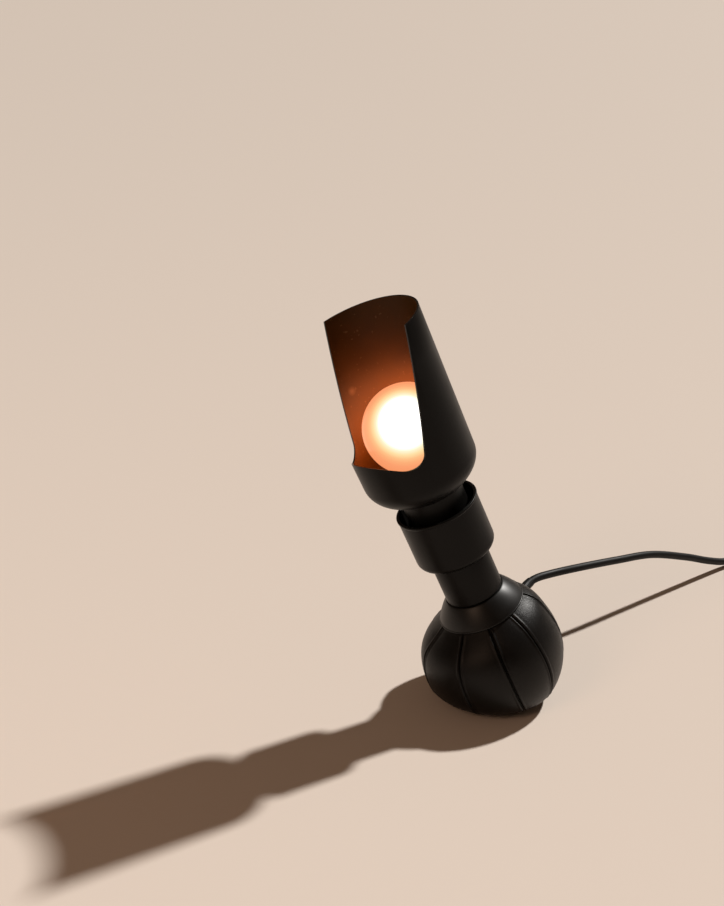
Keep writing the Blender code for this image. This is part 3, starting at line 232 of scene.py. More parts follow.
# Small edges and fineness of the rigid pieces
COLLAR_BEAD = 0.00045
COLLAR_POWER = 1.74
COLLAR_BEAD_DEGREES = (-70, 80)
SEAT_STEPS = 12
BEAD_STEPS = 8
DOME_STEPS = 24
DOME_FIRST_STEP = 5
RIM_FILLET = 0.0003
BEAD_START = 0.0014
BEAD_START_FILLET = 0.0006
BEAD_LOW = 0.0008
BOWL_STEPS = 18
LIP_BEVEL = 0.00022
NECK_STEPS = 8
NECK_REACH = 0.0045
BALL_REACH = 0.0035
BALL_STEPS = 40

# Place and size of the painted reflection of the bulb on the inner paint
BULB_REFLECTION_AROUND = math.radians(113.5)
BULB_REFLECTION_AWAY = 0.0262
BULB_REFLECTION_RISE = 0.0791
BULB_REFLECTION_FADE = (0.0004, 0.0024)

# Colours, places and strengths of the lights
KEY_COLOUR = (1.0, 0.97, 0.93)
KEY_ENERGY = 3.5
KEY_ANGLE = math.radians(3)
KEY_AROUND = math.radians(24)
KEY_UP = math.radians(46)
FILL_COLOUR = (1.0, 0.66, 0.46)
FILL_POWER = 3.2
FILL_SIZE = 0.6
FILL_PLACE = Vector((-1.1, -0.7, 0.9))
FILL_TARGET = Vector((0, 0, 0.09))
ROOM_COLOUR = (1.0, 0.68, 0.48)
ROOM_STRENGTH = 0.09
BACKDROP_COLOUR = (0.73, 0.60, 0.49)
FLOOR_COLOUR = (0.76, 0.665, 0.585)
FLOOR_HALF = 40
FLOOR_DROP = 0.0001

# Glow of the bulb: white towards the opening, strongest towards the back of the shell
BULB_BRIGHT = Vector((-0.357, -0.833, 0.457)).normalized()
BULB_BEHIND = Vector((0.2498, 0.9059, -0.3420)).normalized()
BULB_BACK = 15.5


# Camera at the photograph's angle
def make_camera():
    """Camera with the photograph's place, turn and field of view."""
    data = bpy.data.cameras.new("camera")
    data.sensor_fit = "VERTICAL"
    data.sensor_height = SENSOR
    data.sensor_width = SENSOR
    data.lens = FOCAL_PIXELS / PICTURE_HEIGHT * SENSOR
    data.clip_start = 0.01
    data.clip_end = 100
    camera = bpy.data.objects.new("camera", data)
    turn = Matrix((VIEW_RIGHT, VIEW_UP, -VIEW_FORWARD)).transposed().to_4x4()
    camera.matrix_world = Matrix.Translation(CAMERA_PLACE) @ turn
    bpy.context.scene.collection.objects.link(camera)
    bpy.context.scene.camera = camera


# Helpers for meshes
def smooth_share(value, low, high):
    """Smooth rise from 0 to 1 between two values."""
    share = min(max((value - low) / (high - low), 0), 1)
    return share * share * (3 - 2 * share)


def fall_off(distance, width, power=2):
    """Bell that is 1 at no distance and dies out over a width."""
    return math.exp(-((distance / width) ** power))


def link(name, mesh, matrix=None):
    """Object of a mesh, with its matrix already in the mesh."""
    if matrix is not None:
        mesh.transform(matrix)
    piece = bpy.data.objects.new(name, mesh)
    bpy.context.scene.collection.objects.link(piece)
    return piece


def finish_mesh(bm, name, sharp=40):
    """Smooth mesh with its normals outwards and sharp edges beyond an angle."""
    bmesh.ops.recalc_face_normals(bm, faces=bm.faces)
    mesh = bpy.data.meshes.new(name)
    bm.to_mesh(mesh)
    bm.free()
    mesh.polygons.foreach_set("use_smooth", [True] * len(mesh.polygons))
    if sharp:
        mesh.set_sharp_from_angle(angle=math.radians(sharp))
    return mesh


def bridge(bm, first, second):
    """Faces between two closed rings of the same count."""
    count = len(first)
    for index in range(count):
        after = (index + 1) % count
        bm.faces.new((first[index], first[after], second[after], second[index]))


def rounded(corners, steps=4):
    """Closed outline with an arc at each corner that has a radius."""
    points = []
    for index, (x, z, radius) in enumerate(corners):
        corner = Vector((x, z))
        if radius == 0:
            points.append(corner)
            continue
        before = (Vector(corners[index - 1][:2]) - corner).normalized()
        after = (Vector(corners[(index + 1) % len(corners)][:2]) - corner).normalized()
        half = before.angle(after) / 2
        centre = corner + (before + after).normalized() * radius / math.sin(half)
        start = corner + before * radius / math.tan(half) - centre
        sweep = math.pi - 2 * half
        side = 1 if before.cross(after) < 0 else -1
        for step in range(steps + 1):
            turn = Matrix.Rotation(side * sweep * step / steps, 2)
            points.append(centre + turn @ start)
    return points


def lathe(name, outline, segments=96, matrix=None, sharp=40):
    """Round piece from a closed outline of radii and heights."""
    bm = bmesh.new()
    rings = []
    for x, z in outline:
        if abs(x) < 1e-7:
            rings.append([bm.verts.new((0, 0, z))])
            continue
        ring = []
        for step in range(segments):
            angle = 2 * math.pi * step / segments
            ring.append(bm.verts.new((x * math.cos(angle), x * math.sin(angle), z)))
        rings.append(ring)
    for a, b in zip(rings, rings[1:] + rings[:1]):
        if len(a) == len(b):
            if len(a) > 1:
                bridge(bm, a, b)
            continue
        for index in range(segments):
            after = (index + 1) % segments
            if len(a) == 1:
                bm.faces.new((a[0], b[after], b[index]))
            else:
                bm.faces.new((a[index], a[after], b[0]))
    return link(name, finish_mesh(bm, name, sharp), matrix)


def spline_points(route, step):
    """Even points on a smooth curve through a route."""
    dense = []
    route = [Vector(point) for point in route]
    padded = [2 * route[0] - route[1], *route, 2 * route[-1] - route[-2]]
    for a, b, c, d in zip(padded, padded[1:], padded[2:], padded[3:]):
        for index in range(24):
            t = index / 24
            square = (2 * a - 5 * b + 4 * c - d) * t**2
            cube = (3 * b - a - 3 * c + d) * t**3
            dense.append(0.5 * (2 * b + (c - a) * t + square + cube))
    dense.append(route[-1])
    lengths = np.cumsum([0.0] + [(b - a).length for a, b in zip(dense, dense[1:])])
    count = max(2, round(lengths[-1] / step))
    wanted = np.linspace(0, lengths[-1], count + 1)
    co = np.array([list(p) for p in dense])
    return [Vector([float(np.interp(w, lengths, co[:, k])) for k in range(3)]) for w in wanted]


# Cords, laid along part.py's route
def coil_points(steps):
    """Points along the coil, layer on layer, winding inwards and outwards by turns."""
    points = []
    angle = 0.0
    radius = COIL_OUTER
    height = COIL_LOW
    inward = True
    turn = 2 * math.pi / steps

    def add():
        points.append(Vector((COIL_CENTRE[0] + radius * math.cos(angle),
                              COIL_CENTRE[1] + radius * math.sin(angle), height)))

    add()
    for layer in range(COIL_LAYERS):
        turns = COIL_LAST if layer == COIL_LAYERS - 1 else COIL_TURNS
        for _ in range(round(turns * steps)):
            angle -= turn
            radius += (-1 if inward else 1) * COIL_PITCH / steps
            add()
        if layer == COIL_LAYERS - 1:
            break
        climb = steps // 2
        base = height
        for step in range(1, climb + 1):
            angle -= turn
            first_half = step <= climb // 2
            radius += (-1 if inward == first_half else 1) * COIL_PITCH / steps
            height = base + COIL_PITCH * smooth_share(step / climb, 0, 1)
            add()
        inward = not inward
    return points


def lead_to_coil():
    """Route from the switch round a bend and down to the coil."""
    turn_x = COIL_CENTRE[0] + COIL_OUTER
    turn_y = SWITCH_END.y - LEAD_BEND
    lead = [SWITCH_END, SWITCH_END + Vector((CORD_RADIUS * 2, 0, 0))]
    for step in range(1, LEAD_STEPS + 1):
        angle = math.pi / 2 * (1 - step / LEAD_STEPS)
        share = smooth_share(step / LEAD_STEPS, 0, 1)
        lead.append(Vector((turn_x - LEAD_BEND + LEAD_BEND * math.cos(angle),
                            turn_y + LEAD_BEND * math.sin(angle),
                            SWITCH_END.z + (COIL_LOW - SWITCH_END.z) * share)))
    for away in (CORD_RADIUS * 2, GAP):
        lead.append(Vector((turn_x, COIL_CENTRE[1] + away, COIL_LOW)))
    return lead


def lead_to_plug(last):
    """Route from the coil's last winding to the plug."""
    plug_x = COIL_CENTRE[0] - COIL_OUTER - PLUG_GAP_TO_COIL + GAP
    end = Vector((plug_x, last.y, PLUG_CENTRE_HEIGHT))
    drop = last.x - end.x
    tail = [last - Vector((CORD_RADIUS * 3, 0, 0))]
    for share in LEAD_SHARES:
        fall = smooth_share(share, *LEAD_FALL_SHARES)
        tail.append(Vector((last.x - drop * share, last.y, last.z + (end.z - last.z) * fall)))
    return tail + [end + Vector((CORD_RADIUS * 2, 0, 0)), end]


def tube(name, points, radius):
    """Round tube along a row of points, with slightly domed ends."""
    bm = bmesh.new()
    side = (points[1] - points[0]).orthogonal().normalized()
    first_way = (points[1] - points[0]).normalized()
    last_way = (points[-1] - points[-2]).normalized()
    stations = [(point, radius) for point in points]
    stations[0] = (points[0], radius * CORD_END_SHARE)
    stations.insert(1, (points[0] + first_way * radius * CORD_END_REACH, radius))
    stations[-1] = (points[-1], radius * CORD_END_SHARE)
    stations.insert(-1, (points[-1] - last_way * radius * CORD_END_REACH, radius))
    rings = []
    for index, (place, size) in enumerate(stations):
        before = stations[max(index - 1, 0)][0]
        after = stations[min(index + 1, len(stations) - 1)][0]
        along = (after - before).normalized()
        side = (side - along * side.dot(along)).normalized()
        over = along.cross(side)
        ring = []
        for step in range(CORD_SIDES):
            angle = 2 * math.pi * step / CORD_SIDES
            outwards = side * math.cos(angle) + over * math.sin(angle)
            ring.append(bm.verts.new(place + size * outwards))
        rings.append(ring)
    for a, b in zip(rings, rings[1:]):
        bridge(bm, a, b)
    bm.faces.new(rings[0])
    bm.faces.new(rings[-1])
    return link(name, finish_mesh(bm, name, 60))


def make_cords():
    """The cord from the bag to the switch, and from the switch to the plug."""
    made = []
    route = spline_points(CORD_ROUTE, CORD_STEP)
    first = tube("mains_cord", route, CORD_RADIUS)
    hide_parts("supply_cord")
    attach(first, "bag")
    made.append(first)
    lead = spline_points(lead_to_coil(), CORD_STEP)
    coil = coil_points(COIL_STEPS)
    tail = spline_points(lead_to_plug(coil[-1]), CORD_STEP)
    route = lead + coil[1:] + tail
    second = tube("plug_cord", route, CORD_RADIUS)
    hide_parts("switch_lead", "cord_coil", "plug_lead")
    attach(second, "bag")
    made.append(second)
    return made


make_camera()
CORDS = make_cords()


# Helpers for materials
def new_material(name, colour, roughness, metallic=0.0):
    """Material with its node tree and its shader."""
    made = bpy.data.materials.new(name)
    made.use_nodes = True
    tree = made.node_tree
    shader = tree.nodes["Principled BSDF"]
    shader.inputs["Base Color"].default_value = (*colour, 1)
    shader.inputs["Roughness"].default_value = roughness
    shader.inputs["Metallic"].default_value = metallic
    return made, tree, shader


def coordinates(tree):
    """Places on the piece, in metres."""
    return tree.nodes.new("ShaderNodeTexCoord").outputs["Object"]


def noise(tree, vector, scale, detail=4.0, rough=0.55):
    """Cloudy value from 0 to 1."""
    node = tree.nodes.new("ShaderNodeTexNoise")
    node.inputs["Scale"].default_value = scale
    node.inputs["Detail"].default_value = detail
    node.inputs["Roughness"].default_value = rough
    tree.links.new(vector, node.inputs["Vector"])
    return node.outputs["Fac"]


def ramp(tree, value, *stops):
    """Colour that follows a value through stops."""
    node = tree.nodes.new("ShaderNodeValToRGB")
    while len(node.color_ramp.elements) < len(stops):
        node.color_ramp.elements.new(0.5)
    for element, (place, colour) in zip(node.color_ramp.elements, stops):
        element.position = place
        element.color = (*colour, 1)
    tree.links.new(value, node.inputs["Fac"])
    return node.outputs["Color"]


def spread(tree, value, low, high, from_low=0.3, from_high=0.7, blend="LINEAR"):
    """Value carried from one range to another, and held at its ends."""
    node = tree.nodes.new("ShaderNodeMapRange")
    node.interpolation_type = blend
    node.inputs["From Min"].default_value = from_low
    node.inputs["From Max"].default_value = from_high
    node.inputs["To Min"].default_value = low
    node.inputs["To Max"].default_value = high
    tree.links.new(value, node.inputs["Value"])
    return node.outputs["Result"]


def bump(tree, height, strength, distance, onto=None):
    """Normal with a relief, on top of another one if there is one."""
    node = tree.nodes.new("ShaderNodeBump")
    node.inputs["Strength"].default_value = strength
    node.inputs["Distance"].default_value = distance
    tree.links.new(height, node.inputs["Height"])
    if onto is not None:
        tree.links.new(onto, node.inputs["Normal"])
    return node.outputs["Normal"]


def vector_math(tree, operation, value, constant=None):
    """Vector node with a linked first input and a fixed second one."""
    node = tree.nodes.new("ShaderNodeVectorMath")
    node.operation = operation
    tree.links.new(value, node.inputs[0])
    if constant is not None:
        node.inputs[1].default_value = constant
    return node


def number_math(tree, operation, *values):
    """Number node; each value is linked if it is a socket."""
    node = tree.nodes.new("ShaderNodeMath")
    node.operation = operation
    for socket, value in zip(node.inputs, values):
        if isinstance(value, float):
            socket.default_value = value
        else:
            tree.links.new(value, socket)
    return node.outputs["Value"]


def tinted(tree, factor, colour, other):
    """A linked colour that a factor turns into a fixed one."""
    node = tree.nodes.new("ShaderNodeMix")
    node.data_type = "RGBA"
    tree.links.new(factor, node.inputs["Factor"])
    tree.links.new(colour, node.inputs[6])
    node.inputs[7].default_value = (*other, 1)
    return node.outputs[2]


def facing(tree, outwards, direction, low, high, blend="LINEAR"):
    """How far a surface faces a direction, from 0 to 1 between two cosines."""
    cosine = vector_math(tree, "DOT_PRODUCT", outwards, direction).outputs["Value"]
    return spread(tree, cosine, 0, 1, low, high, blend)


# Materials
def leather_material():
    """Black leather with a fine pebbled grain and faint creases."""
    made, tree, shader = new_material("leather", (0.004, 0.0035, 0.003), 0.40)
    at = coordinates(tree)
    broad = noise(tree, at, 90, 3)
    warp = vector_math(tree, "MULTIPLY_ADD", noise(tree, at, 700, 2), (0.0009, 0.0009, 0.0009))
    tree.links.new(at, warp.inputs[2])
    grain = tree.nodes.new("ShaderNodeTexVoronoi")
    grain.feature = "DISTANCE_TO_EDGE"
    grain.inputs["Scale"].default_value = 1900
    tree.links.new(warp.outputs["Vector"], grain.inputs["Vector"])
    cells = spread(tree, grain.outputs["Distance"], 0, 1, 0.0, 0.18)
    normal = bump(tree, noise(tree, at, 170, 3), 0.03, 0.0006)
    normal = bump(tree, cells, 0.26, 0.00008, normal)
    normal = bump(tree, noise(tree, at, 6200, 3), 0.12, 0.00004, normal)
    tree.links.new(normal, shader.inputs["Normal"])
    colour = ramp(tree, broad, (0.3, (0.0032, 0.0028, 0.0024)), (0.7, (0.0060, 0.0052, 0.0045)))
    tree.links.new(colour, shader.inputs["Base Color"])
    tree.links.new(spread(tree, broad, 0.38, 0.42), shader.inputs["Roughness"])
    shader.inputs["Specular IOR Level"].default_value = 0.20
    return made


def paint_material():
    """Satin black paint with a very fine texture."""
    made, tree, shader = new_material("black_paint", (0.004, 0.0036, 0.0032), 0.36)
    at = coordinates(tree)
    broad = noise(tree, at, 60, 3)
    normal = bump(tree, noise(tree, at, 2600, 2), 0.12, 0.00004)
    tree.links.new(normal, shader.inputs["Normal"])
    tree.links.new(spread(tree, broad, 0.33, 0.42), shader.inputs["Roughness"])
    colour = ramp(tree, broad, (0.3, (0.0030, 0.0027, 0.0024)), (0.7, (0.0050, 0.0045, 0.0040)))
    tree.links.new(colour, shader.inputs["Base Color"])
    shader.inputs["Specular IOR Level"].default_value = 0.13
    return made


def inner_paint_material():
    """Flatter dark paint on the inside, tinted warm with a painted glow of the bulb, with a few
    specks of dust and one painted reflection of the bulb.
    """
    # Warm orange-brown base, much lighter than the outer paint: painted glow of the bulb on black
    # paint
    made, tree, shader = new_material("inner_paint", (0.036, 0.0135, 0.002), 0.4)
    at = coordinates(tree)
    broad = noise(tree, at, 75, 4)
    # Random tone within the painted warm glow of the bulb
    colour = ramp(tree, broad, (0.3, (0.032, 0.0125, 0.0012)), (0.72, (0.042, 0.0165, 0.0020)))
    dust = ramp(tree, noise(tree, at, 700, 2, 0.4), (0.68, (0, 0, 0)), (0.76, (1, 1, 1)))
    colour = tinted(tree, dust, colour, (0.075, 0.038, 0.016))
    # Painted reflection of the bulb: a small, lighter warm spot on the inner wall
    flat = (BULB_REFLECTION_AWAY * math.cos(BULB_REFLECTION_AROUND), BULB_REFLECTION_AWAY * math.sin(BULB_REFLECTION_AROUND))
    place = STAND @ Vector((*flat, NECK_BASE + BULB_REFLECTION_RISE))
    distance = vector_math(tree, "DISTANCE", at, place).outputs["Value"]
    painted_reflection = spread(tree, distance, 1, 0, *BULB_REFLECTION_FADE)
    colour = tinted(tree, painted_reflection, colour, (0.085, 0.045, 0.020))
    tree.links.new(colour, shader.inputs["Base Color"])
    normal = bump(tree, noise(tree, at, 2200, 2), 0.12, 0.00004)
    tree.links.new(normal, shader.inputs["Normal"])
    tree.links.new(spread(tree, broad, 0.40, 0.50), shader.inputs["Roughness"])
    shader.inputs["Specular IOR Level"].default_value = 0.10
    return made


def plastic_material(name, colour, low, high, grain=1800, strength=0.1, shine=0.5):
    """Plastic, rubber or fired clay between two roughnesses."""
    made, tree, shader = new_material(name, colour, (low + high) / 2)
    at = coordinates(tree)
    broad = noise(tree, at, 110, 3)
    normal = bump(tree, noise(tree, at, grain, 2), strength, 0.00005)
    tree.links.new(normal, shader.inputs["Normal"])
    tree.links.new(spread(tree, broad, low, high), shader.inputs["Roughness"])
    dark = tuple(c * 0.85 for c in colour)
    pale = tuple(c * 1.2 for c in colour)
    tree.links.new(ramp(tree, broad, (0.3, dark), (0.7, pale)), shader.inputs["Base Color"])
    shader.inputs["Specular IOR Level"].default_value = shine
    return made


def metal_material(name, colour, low, high):
    """Metal between two roughnesses."""
    made, tree, shader = new_material(name, colour, (low + high) / 2, 1.0)
    at = coordinates(tree)
    broad = noise(tree, at, 200, 4)
    normal = bump(tree, noise(tree, at, 3000, 2), 0.08, 0.00004)
    tree.links.new(normal, shader.inputs["Normal"])
    tree.links.new(spread(tree, broad, low, high), shader.inputs["Roughness"])
    dark = tuple(c * 0.86 for c in colour)
    tree.links.new(ramp(tree, broad, (0.3, dark), (0.7, colour)), shader.inputs["Base Color"])
    return made


def bulb_material():
    """Lit opal glass: white towards the opening, orange round it, strongest behind."""
    made, tree, shader = new_material("opal_glass", (0.03, 0.022, 0.016), 0.25)
    shader.inputs["Specular IOR Level"].default_value = 0.15
    centre = HOLDER @ Vector((0, 0, BULB_CENTRE))
    around = vector_math(tree, "SUBTRACT", coordinates(tree), centre).outputs["Vector"]
    outwards = vector_math(tree, "NORMALIZE", around).outputs["Vector"]
    share = facing(tree, outwards, BULB_BRIGHT, -1, 1)
    glow = ramp(
        tree,
        share,
        (0.55, (0.93, 0.31, 0.13)),
        (0.73, (0.97, 0.36, 0.16)),
        (0.79, (0.98, 0.43, 0.19)),
        (0.83, (0.99, 0.53, 0.24)),
        (0.87, (0.99, 0.75, 0.38)),
        (0.91, (1.00, 0.97, 0.72)),
        (0.95, (1.00, 0.98, 0.90)),
        (1.00, (1.00, 0.98, 0.92)),
    )
    tree.links.new(glow, shader.inputs["Emission Color"])
    back = facing(tree, outwards, BULB_BEHIND, -0.02, 0.55, "SMOOTHSTEP")
    along = HOLDER.to_3x3() @ Vector((0, 0, 1))
    above = facing(tree, outwards, along, -0.85, -0.30, "SMOOTHSTEP")
    hidden = number_math(tree, "MULTIPLY", back, above)
    core = spread(tree, share, 1.0, 3.0, 0.90, 1.0)
    strength = number_math(tree, "MULTIPLY_ADD", hidden, BULB_BACK, core)
    tree.links.new(strength, shader.inputs["Emission Strength"])
    return made


LEATHER = leather_material()
PAINT = paint_material()
INNER = inner_paint_material()
EDGE = plastic_material("edge_paint", (0.006, 0.0055, 0.005), 0.22, 0.30, 2400, 0.06, 0.40)
COLLAR = plastic_material("collar_plastic", (0.004, 0.0037, 0.0033), 0.36, 0.42, 2400, 0.06, 0.34)
PLASTIC = plastic_material("black_plastic", (0.008, 0.008, 0.0085), 0.38, 0.48, 1500, 0.14, 0.35)
RUBBER = plastic_material("cord_rubber", (0.004, 0.0038, 0.0035), 0.46, 0.58, 1300, 0.12, 0.22)
CERAMIC = plastic_material("ceramic", (0.78, 0.76, 0.70), 0.45, 0.55, 900, 0.1)
FIBRE = plastic_material("fibre", (0.32, 0.12, 0.08), 0.7, 0.8, 900, 0.2)
STEEL = metal_material("zinc_steel", (0.55, 0.55, 0.56), 0.28, 0.42)
BRASS = metal_material("brass", (0.72, 0.52, 0.25), 0.26, 0.38)
SHOT = metal_material("shot", (0.22, 0.22, 0.23), 0.5, 0.7)
OPAL = bulb_material()


def dress(material, *names):
    """Gives CAD nodes a material."""
    for name in names:
        node = NODES[name]
        for slot in node.material_slots:
            slot.material = material


for cord in CORDS:
    cord.data.materials.append(RUBBER)
dress(LEATHER, "base_patch", *[f"leather_panel_{k}" for k in range(1, 9)])
dress(SHOT, "shot_filling")
dress(RUBBER, "cord_relief", "inner_lead", "riser_lead", "supply_cord", "switch_lead",
      "cord_coil", "plug_lead")
dress(PLASTIC, "switch_base", "switch_cover", "switch_rocker", "cord_tie", "plug_body",
      "lampholder_body")
dress(STEEL, "switch_screw_1", "switch_screw_2", "plug_pin_1", "plug_pin_2", "clamp_flange",
      "flange_nut", "threaded_tube", "spring_washer", "bulb_cap")
dress(BRASS, "screw_shell", "centre_contact", "wire_live", "wire_neutral", "bulb_tip")
dress(CERAMIC, "lampholder_core")
dress(FIBRE, "friction_washer")
dress(PAINT, "stem", "cup", "reflector")
dress(COLLAR, "collar")
dress(OPAL, "bulb_glass")


# Bag: a round form, flat on the table and drawn to the collar's seat
def ray(theta, phi):
    """Direction at an angle from the leaning axis and an angle round it."""
    flat = math.sin(theta)
    return LEAN_TURN @ Vector((flat * math.cos(phi), flat * math.sin(phi), math.cos(theta)))


def ball_and_table(direction, depth):
    """Distances along a ray to the round bag and to the table under it."""
    radius = BAG_RADIUS - depth
    along = PIVOT_OFFSET * direction.x
    ball = math.sqrt(along**2 + radius**2 - PIVOT_OFFSET**2) - along
    if direction.z > -GAP:
        return ball, math.inf
    return ball, BAG_CENTRE / -direction.z


def reach(theta, phi, depth):
    """Distance to the leather: round, flat on the table and drawn to the collar's seat."""
    ball, table = ball_and_table(ray(theta, phi), depth)
    near = max(0, 1 - abs(ball - table) / FOOT_SOFTNESS)
    found = min(ball, table) - near**2 * FOOT_SOFTNESS / 4
    return SEAT + (found - SEAT) * smooth_share(theta, SEAT_END, BALL_START)


def crossing(passed):
    """First angle below the bag's middle for which a test holds."""
    low, high = math.pi / 2, math.pi
    for _ in range(30):
        middle = (low + high) / 2
        if passed(middle):
            high = middle
        else:
            low = middle
    return low


def edge_angle(phi, offset):
    """Angle at which a meridian is an offset away from where ball and table meet."""
    def passed(theta):
        ball, table = ball_and_table(ray(theta, phi), 0)
        return ball - table > offset

    return crossing(passed)


def foot_angle(phi):
    """Angle at which a meridian has reached the table, outside the patch."""
    def passed(theta):
        direction = ray(theta, phi)
        if direction.z > -GAP:
            return False
        foot = PIVOT + direction * (BAG_CENTRE / -direction.z)
        return math.hypot(foot.x - PATCH_CENTRE, foot.y) < PATCH_RADIUS + GAP + FOOT_MARGIN

    return min(crossing(passed), edge_angle(phi, FOOT_SOFTNESS))


def bag_columns():
    """Angles round the axis, closer together beside each seam."""
    found = []
    for index, start in enumerate(SEAM_DEGREES):
        width = (SEAM_DEGREES[(index + 1) % len(SEAM_DEGREES)] - start) % 360
        for share in COLUMN_SHARES:
            found.append((math.radians(start + width * share), share == 0))
    return found


def bag_cage():
    """Coarse mesh of the bag, and for each point whether seams, collar or table hold it."""
    middle = Vector((PATCH_CENTRE, 0, 0))
    opening = math.asin(OPENING_RADIUS / BAG_RADIUS)
    bm = bmesh.new()
    held = []
    columns = []
    for phi, on_seam in bag_columns():
        edge, flat = edge_angle(phi, -FOOT_SOFTNESS), foot_angle(phi)
        thetas = list(np.linspace(opening, edge, ARC_ROWS))
        thetas += list(np.linspace(edge, flat, EDGE_ROWS)[1:])
        column = []
        for theta in thetas:
            depth = SLACK * smooth_share(theta, SEAT_END, BALL_START)
            column.append(PIVOT + ray(theta, phi) * reach(theta, phi, depth))
            held.append(on_seam or theta < SEAT_END or theta > edge)
        outwards = (column[-1] - middle).normalized()
        inner = middle + outwards * (PATCH_RADIUS + GAP)
        for row in range(1, FLAT_ROWS + 1):
            column.append(column[-1].lerp(inner, 1 / (FLAT_ROWS + 1 - row)))
            held.append(True)
        columns.append([bm.verts.new(point) for point in column])
    for a, b in zip(columns, columns[1:] + columns[:1]):
        for row in range(len(a) - 1):
            bm.faces.new((a[row], a[row + 1], b[row + 1], b[row]))
    return finish_mesh(bm, "leather_bag", 0), held


def swell(piece, held):
    """Lets the leather swell under the shot's pressure, a little, where nothing holds it."""
    mesh = piece.data
    group = piece.vertex_groups.new(name="held")
    group.add([index for index, fixed in enumerate(held) if fixed], 1.0, "REPLACE")
    start = np.array([vert.co[:] for vert in mesh.vertices])
    cloth = piece.modifiers.new("cloth", "CLOTH")
    settings = cloth.settings
    settings.quality = 8
    settings.mass = 0.3
    settings.tension_stiffness = 15
    settings.compression_stiffness = 15
    settings.shear_stiffness = 5
    settings.bending_stiffness = 0.5
    settings.use_pressure = True
    settings.uniform_pressure_force = CLOTH_PRESSURE
    settings.vertex_group_mass = "held"
    settings.effector_weights.gravity = 0
    cloth.point_cache.frame_start = 1
    cloth.point_cache.frame_end = CLOTH_FRAMES
    scene = bpy.context.scene
    for step in range(1, CLOTH_FRAMES + 1):
        scene.frame_set(step)
    graph = bpy.context.evaluated_depsgraph_get()
    found = piece.evaluated_get(graph)
    end = np.array([vert.co[:] for vert in found.data.vertices])
    move = end - start
    size = np.linalg.norm(move, axis=1)
    capped = move * np.minimum(1, MOST_SWELL / np.maximum(size, 1e-9))[:, None]
    piece.modifiers.clear()
    scene.frame_set(1)
    for vert, place in zip(mesh.vertices, start + capped):
        vert.co = place


def seam_depth(theta, number, distance):
    """How far a point beside a seam lies below the leather."""
    depth = GROOVE_DEPTH * fall_off(distance, GROOVE_WIDTH, GROOVE_POWER)
    depth += ROLL_DEPTH * fall_off(distance, ROLL_WIDTH)
    depth -= LIP_HEIGHT * fall_off(distance - LIP_PLACE, LIP_WIDTH)
    waves = math.sin(theta * TUG_WAVES + number * TUG_SHIFT)
    depth += TUG_DEPTH * waves * fall_off(distance, TUG_WIDTH)
    under_collar = 1 - smooth_share(theta, *COLLAR_FADE)
    return depth + (max(depth, LEAST_SINK) * 0.5 - depth) * under_collar


def sew(mesh):
    """Presses in the seams, with rolled edges and slight tugs of the thread."""
    inverse = LEAN_TURN.inverted()
    seams = [math.radians(degrees) for degrees in SEAM_DEGREES]
    for vert in mesh.vertices:
        offset = vert.co - PIVOT
        local = inverse @ offset
        theta = math.acos(max(-1, min(1, local.z / local.length)))
        phi = math.atan2(local.y, local.x)
        turns = [abs((phi - seam + math.pi) % (2 * math.pi) - math.pi) for seam in seams]
        number = turns.index(min(turns))
        distance = turns[number] * math.hypot(local.x, local.y)
        if vert.co.z < TABLE_NEAR:
            lift = fall_off(distance, TABLE_GROOVE_WIDTH, GROOVE_POWER)
            vert.co.z += TABLE_GROOVE_DEPTH * lift
        else:
            vert.co -= offset / offset.length * seam_depth(theta, number, distance)
        vert.co.z = max(vert.co.z, 0)


def applied(piece):
    """The piece's mesh with its modifiers applied."""
    bpy.context.view_layer.update()
    graph = bpy.context.evaluated_depsgraph_get()
    mesh = bpy.data.meshes.new_from_object(piece.evaluated_get(graph))
    old = piece.data
    piece.modifiers.clear()
    piece.data = mesh
    bpy.data.meshes.remove(old)
    return mesh


def make_bag():
    """The sewn bag: swollen, made finer, sewn and given the leather's thickness."""
    mesh, held = bag_cage()
    piece = link("leather_bag", mesh)
    swell(piece, held)
    finer = piece.modifiers.new("finer", "SUBSURF")
    finer.levels = finer.render_levels = 2
    mesh = applied(piece)
    sew(mesh)
    wall = piece.modifiers.new("wall", "SOLIDIFY")
    wall.thickness = LEATHER_WALL
    wall.offset = -1
    wall.use_rim_only = True
    mesh = applied(piece)
    mesh.polygons.foreach_set("use_smooth", [True] * len(mesh.polygons))
    mesh.materials.clear()
    mesh.materials.append(LEATHER)
    piece.vertex_groups.clear()
    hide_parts(*[f"leather_panel_{k}" for k in range(1, 9)])
    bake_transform(piece)


make_bag()


# Rigid pieces with finer surfaces than the CAD solids
def replace_rigid(piece, node, body, material):
    """Shows a piece in place of a CAD node, and moves it with a body."""
    piece.data.materials.append(material)
    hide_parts(node)
    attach(piece, body)


def make_collar():
    """Domed collar: its seat on the leather, a rolled edge and a dome up to the stem."""
    seat, bead = SEAT + GAP, COLLAR_BEAD
    outline = []
    for step in range(SEAT_STEPS + 1):
        radius = TUBE_HOLE + (COLLAR_RADIUS - bead - TUBE_HOLE) * step / SEAT_STEPS
        outline.append((radius, math.sqrt(seat**2 - radius**2)))
    start, end = COLLAR_BEAD_DEGREES
    for step in range(BEAD_STEPS + 1):
        angle = math.radians(start + (end - start) * step / BEAD_STEPS)
        outline.append((COLLAR_RADIUS - bead / 2 + bead * math.cos(angle),
                        COLLAR_LOW + bead * math.sin(angle)))
    for step in range(DOME_FIRST_STEP, DOME_STEPS + 1):
        angle = math.pi / 2 * step / DOME_STEPS
        across, up = math.cos(angle) ** COLLAR_POWER, math.sin(angle) ** COLLAR_POWER
        outline.append((COLLAR_SHOULDER + (COLLAR_RADIUS - COLLAR_SHOULDER) * across,
                        COLLAR_LOW + COLLAR_RISE * up))
    outline.append((TUBE_HOLE, COLLAR_LOW + COLLAR_RISE))
    replace_rigid(lathe("collar_dome", outline, 128, STAND), "collar", "stand", COLLAR)


